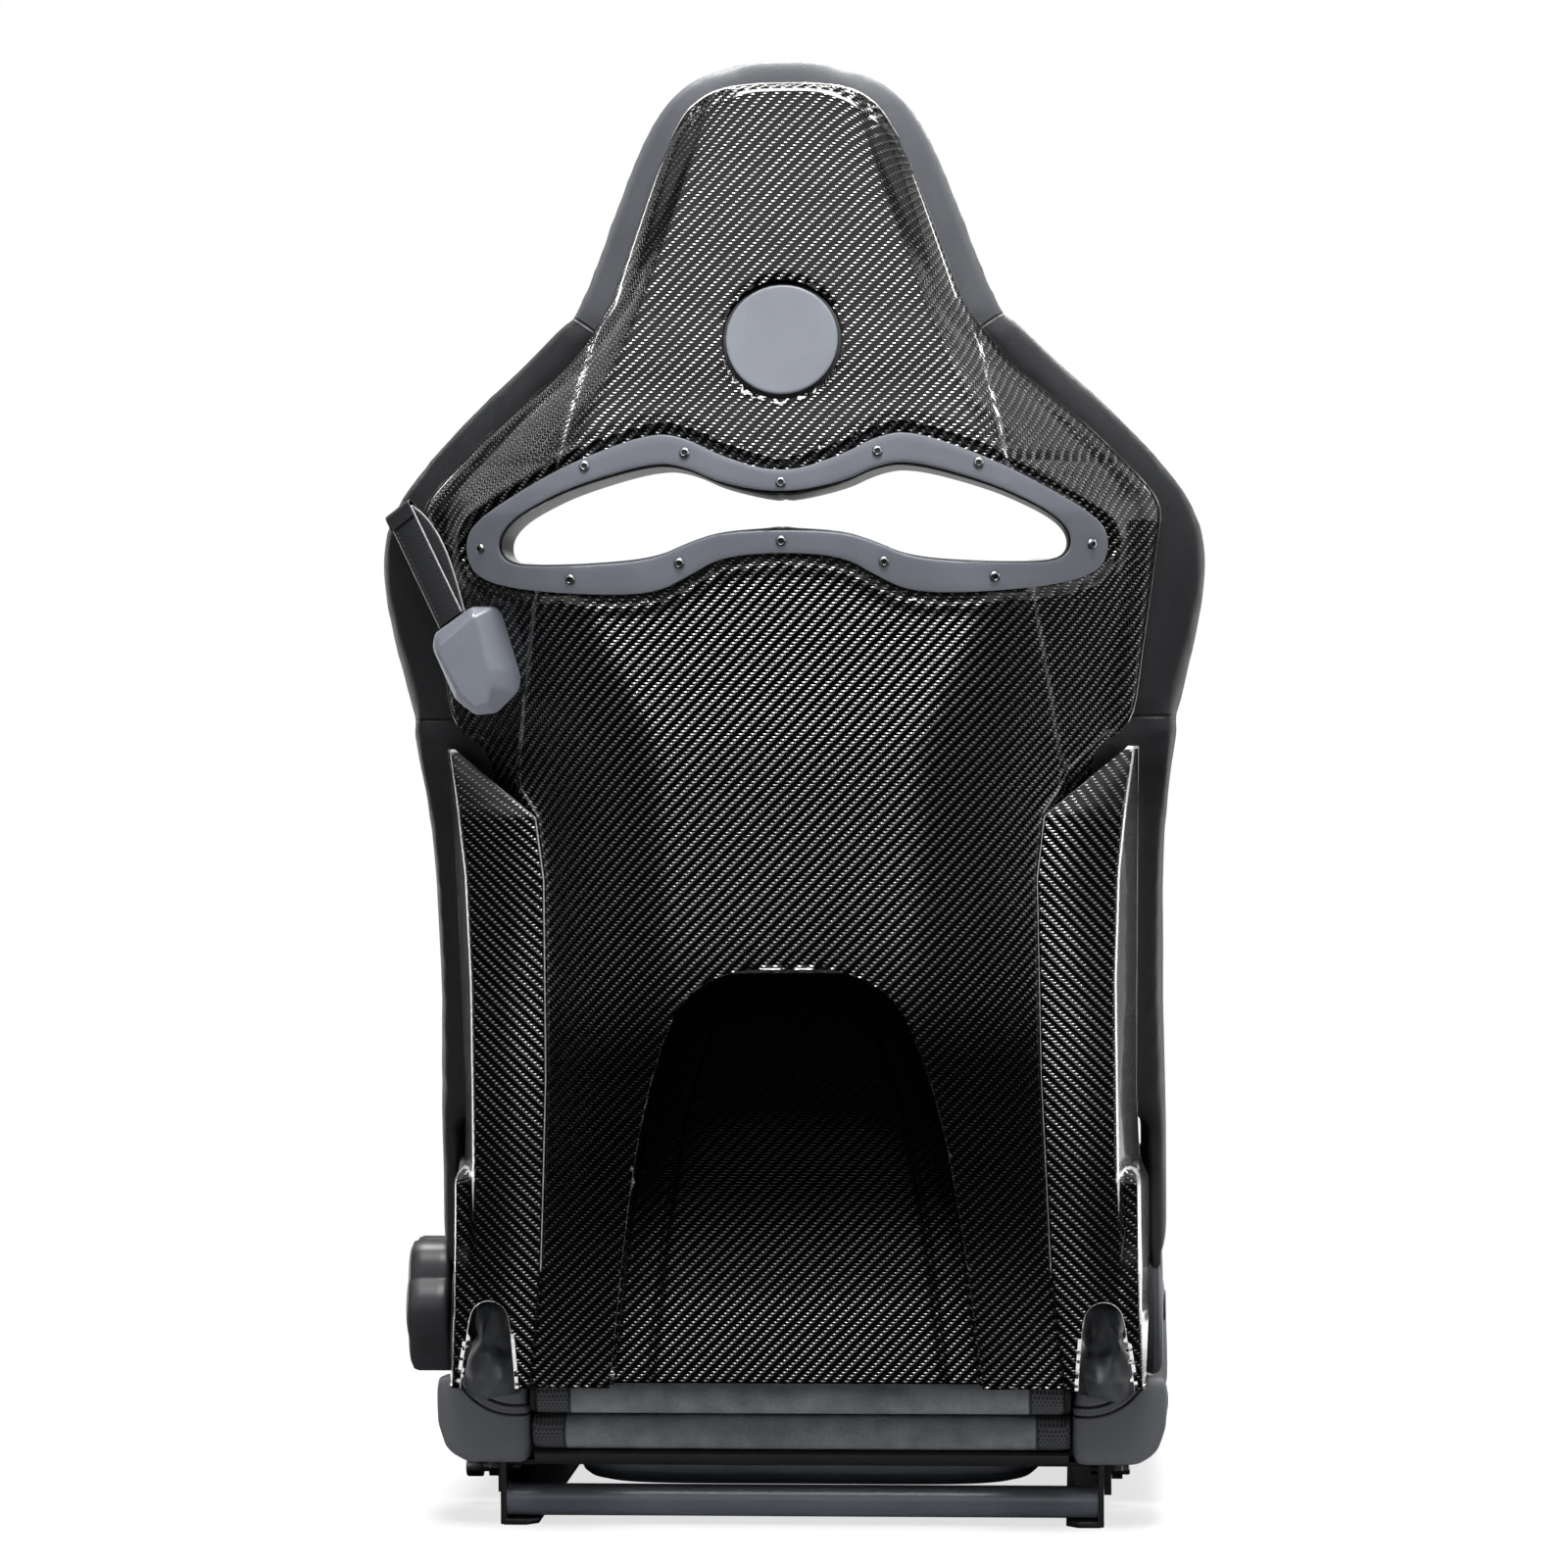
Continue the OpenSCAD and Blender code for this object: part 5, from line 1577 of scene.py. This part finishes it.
def build_bolts():
    """Bolts and nuts of the hinge plates, with a collar on the left ones"""
    parts = []
    for sign in (1, -1):
        for y in (-186, -132):
            centre = (0, y, BOLT_Z)
            group = join(lathe([[199, 0], [199, 3.6], [199.6, 4], [225.4, 4], [226.2, 3.2],
                                [226.2, 0]], centre=centre, steps=32),
                         hex_nut(13, 7.6, 213.5, y, BOLT_Z))
            if sign < 0:
                group = join(group, lathe([[225.4, 0], [225.4, 7.0], [226, 7.4], [236, 7.4],
                                           [237, 6.4], [237, 0]], centre=centre, steps=40))
            parts.append(flip_side(group, sign))
    make("hinge_bolt_set", join(*parts), finish("zinc"), "hinge_bolts")


def dress_hidden_parts():
    """Finishes for the steel parts whose solids are already right"""
    looks = {"powder": ("frame_upright_left", "frame_upright_right", "frame_lower_bar",
                        "frame_upper_bar", "shell_posts", "hinge_arm_left", "hinge_arm_right",
                        "seat_pan", "hinge_base_left", "hinge_base_right"),
             "zinc": ("recliner_fitting_left", "recliner_fitting_right", "release_pawl",
                      "sync_shaft"),
             "plastic": ("lumbar_panel", "release_cable")}
    for look, nodes in looks.items():
        for node in nodes:
            mesh = frame["nodes"][node].data
            mesh.materials.clear()
            mesh.materials.append(finish(look))


# ------------------------------------------------------------------ stage

def build_camera():
    """The fixed view of the back"""
    camera = bpy.data.cameras.new("camera")
    camera.lens = 104.44
    camera.sensor_width = 36
    camera.clip_end = 50
    eye = bpy.data.objects.new("camera", camera)
    eye.location = (0.1935, -3.3497, 0.5373)
    eye.rotation_euler = (math.radians(89.52), math.radians(0.30), math.radians(3.714))
    bpy.context.scene.collection.objects.link(eye)
    bpy.context.scene.camera = eye


def build_floor():
    """White paper that fades into the white round it"""
    f = Finish("floor_white")
    path = f.add("ShaderNodeLightPath", None, output="Is Camera Ray")
    x, y, _ = f.split(f.place())
    near = ((x ** 2 + y ** 2) ** 0.5).between(0.5, 1.1)
    paper = f.add("ShaderNodeBsdfDiffuse", None, Color=(0.9, 0.9, 0.9))
    glow = f.add("ShaderNodeEmission", None, Color=(1, 1, 1), Strength=1.0)
    # for glossy rays the floor under the seat and on the camera's side is painted dark: a painted
    # dark reflection
    gloss = f.add("ShaderNodeLightPath", None, output="Is Glossy Ray") * (1 - y.between(0.35, 0.8))
    shade = f.add("ShaderNodeBsdfDiffuse", None, Color=(0.01, 0.01, 0.01))
    paper = f.add("ShaderNodeMixShader", None, gloss, paper, shade)
    f.end(f.add("ShaderNodeMixShader", None, path * (0.72 + 0.28 * near), paper, glow))
    bm = bmesh.new()
    bmesh.ops.create_grid(bm, x_segments=1, y_segments=1, size=14)
    floor = new_object("floor", bm)
    floor.data.materials.append(f.material)


def build_world():
    """White all round, but for what the gloss of the seat is to show"""
    world = bpy.data.worlds.new("studio")
    bpy.context.scene.world = world
    sky = Finish("studio", world)
    # white for whatever looks straight out or through glass, and behind the seat for gloss
    right, way, up = sky.split(sky.add("ShaderNodeTexCoord", None, output="Generated"))
    seen, glossy, through = (sky.add("ShaderNodeLightPath", None, output=ray) for ray in (
        "Is Camera Ray", "Is Glossy Ray", "Is Transmission Ray"))
    behind = way.between(0.1, 0.45) * (1 - way.between(0.6, 0.85) * 0.75) * 0.6
    white = (seen + through + glossy * behind).clamp()
    # soft glows for gloss alone: above the camera, and to its right
    haze = up.between(0.12, 0.36) * (1 - up.between(0.42, 0.75)) * (1 - way.between(-0.7, -0.2))
    card = right.between(0.75, 0.95) * (1 - up.size().between(0.2, 0.6))
    fill = sky.add("ShaderNodeBackground", None, Color=(1, 1, 1),
                   Strength=0.16 + glossy * (haze * 1.3 + card * 1.6 - 0.15))
    paper = sky.add("ShaderNodeBackground", None, Color=(1, 1, 1), Strength=1.0)
    sky.end(sky.add("ShaderNodeMixShader", None, white, fill, paper), "ShaderNodeOutputWorld")


# name, place and size in metres, power in watts
LAMPS = [("key", (0.05, -1.2, 2.4), (1.0, 0.75), 78),
         ("side_right", (1.5, 0.9, 0.75), (0.12, 1.8), 11),
         ("side_left", (-1.5, 0.9, 0.75), (0.12, 1.8), 9),
         ("top", (0, 0.5, 2.6), (1.6, 0.7), 110),
         ("front", (0.5, 2.4, 2.2), (1.4, 1.0), 42)]
LIT_SPOT = Vector((0, -0.2, 0.55))


def build_lamps():
    """Soft boxes that all point at the middle of the seat"""
    for name, spot, size, power in LAMPS:
        light = bpy.data.lights.new(name, "AREA")
        light.shape = "RECTANGLE"
        light.size, light.size_y = size
        light.energy = power
        lamp = bpy.data.objects.new(name, light)
        lamp.location = spot
        lamp.rotation_euler = (LIT_SPOT - Vector(spot)).to_track_quat("-Z", "Y").to_euler()
        bpy.context.scene.collection.objects.link(lamp)


def build_stage():
    bpy.context.scene.view_settings.view_transform = "Standard"
    build_camera()
    build_floor()
    build_world()
    build_lamps()


# ------------------------------------------------------------------ user's values

def colour(name, used_for, tone):
    return bpy.props.FloatVectorProperty(name=name, description=f"Colour of {used_for}",
                                         subtype="COLOR", default=tone, min=0, max=1)


class SeatLooks(bpy.types.PropertyGroup):
    """Sizes and colours of the finishes"""
    tow: bpy.props.FloatProperty(
        name="Tow", description="Width of the carbon tows", default=0.0020,
        min=0.001, max=0.004, unit="LENGTH")
    carbon_tow: colour("Carbon", "a lit carbon tow", (0.40, 0.39, 0.385))
    leather: colour("Leather", "the leather", (0.0105, 0.0112, 0.0130))
    suede: colour("Suede", "the suede", (0.045, 0.048, 0.053))
    slate: colour("Slate", "the bezel, badge and handle", (0.105, 0.112, 0.132))


def step(idname, label, doc, work):
    """An operator that runs one building step"""
    def execute(self, context):
        work()
        return {"FINISHED"}
    name = "SEAT_OT_" + idname.split(".")[1]
    return type(name, (bpy.types.Operator,), {
        "bl_idname": idname, "bl_label": label, "__doc__": doc, "execute": execute,
        "bl_options": {"REGISTER", "UNDO"}})


def both_sides(build):
    def work():
        for side in SIDES:
            build(side)
    return work


STEPS = [
    step("seat.stage", "Stage", "Floor, lamps and camera", build_stage),
    step("seat.finishes", "Finishes", "All the materials", mix_finishes),
    step("seat.back_shell", "Back shell", "Moulded carbon shell", build_back_shell),
    step("seat.center_panel", "Centre panel", "Panel behind the arch", build_center_panel),
    step("seat.side_covers", "Side covers", "Creased covers over the hinges",
         both_sides(build_side_cover)),
    step("seat.bezel", "Slot bezel", "Ring round the harness slot", build_bezel),
    step("seat.slot_liner", "Slot liner", "Leather tunnel of the slot", build_slot_liner),
    step("seat.screws", "Bezel screws", "Button-head screws", build_screws),
    step("seat.badge", "Badge", "Bare round plate", build_badge),
    step("seat.pads", "Swell the pads", "Cloth pass over every pad", swell_pads),
    step("seat.backrest_covers", "Backrest covers", "Seams and covers of the backrest",
         finish_backrest_pads),
    step("seat.seat_covers", "Seat covers", "Seams and covers of the seat", finish_seat_pads),
    step("seat.boots", "Hinge boots", "Gathered leather sleeves", both_sides(build_boot)),
    step("seat.corner_thread", "Corner thread", "Stitches of the seat corners",
         both_sides(build_corner_thread)),
    step("seat.strap", "Pull strap", "Doubled strap", build_strap),
    step("seat.sleeve", "Strap sleeve", "Leather sleeve of the strap", build_sleeve),
    step("seat.handle", "Pull handle", "Satin handle on the strap", build_handle),
    step("seat.knob", "Hand wheel", "Lobed recliner wheel", build_knob),
    step("seat.hinge_trim", "Hinge trim", "Round covers and cap", build_hinge_trim),
    step("seat.side_plates", "Side plates", "Floor mounts", both_sides(build_side_plate)),
    step("seat.bars", "Crossbars", "Tubes across the base", build_bars),
    step("seat.under_tray", "Under tray", "Tray below the cushion", build_under_tray),
    step("seat.trim_strip", "Trim strip", "Moulding below the rolls", build_trim_strip),
    step("seat.bolts", "Hinge bolts", "Bolts of the hinge plates", build_bolts),
    step("seat.hidden", "Inner parts", "Finishes of the inner steel parts", dress_hidden_parts),
]


class SEAT_PT_panel(bpy.types.Panel):
    """Lists the building steps"""
    bl_label = "Sports seat"
    bl_idname = "SEAT_PT_panel"
    bl_space_type = "VIEW_3D"
    bl_region_type = "UI"
    bl_category = "Seat"

    def draw(self, context):
        looks = context.scene.seat_looks
        for name in SeatLooks.__annotations__:
            self.layout.prop(looks, name)
        for item in STEPS:
            self.layout.operator(item.bl_idname)


CLASSES = [SeatLooks, *STEPS, SEAT_PT_panel]


def register():
    for item in CLASSES:
        bpy.utils.register_class(item)
    bpy.types.Scene.seat_looks = bpy.props.PointerProperty(type=SeatLooks)


def unregister():
    del bpy.types.Scene.seat_looks
    for item in reversed(CLASSES):
        bpy.utils.unregister_class(item)


def main():
    register()
    for item in STEPS:
        group, name = item.bl_idname.split(".")
        getattr(getattr(bpy.ops, group), name)()


if __name__ == "__main__":
    main()
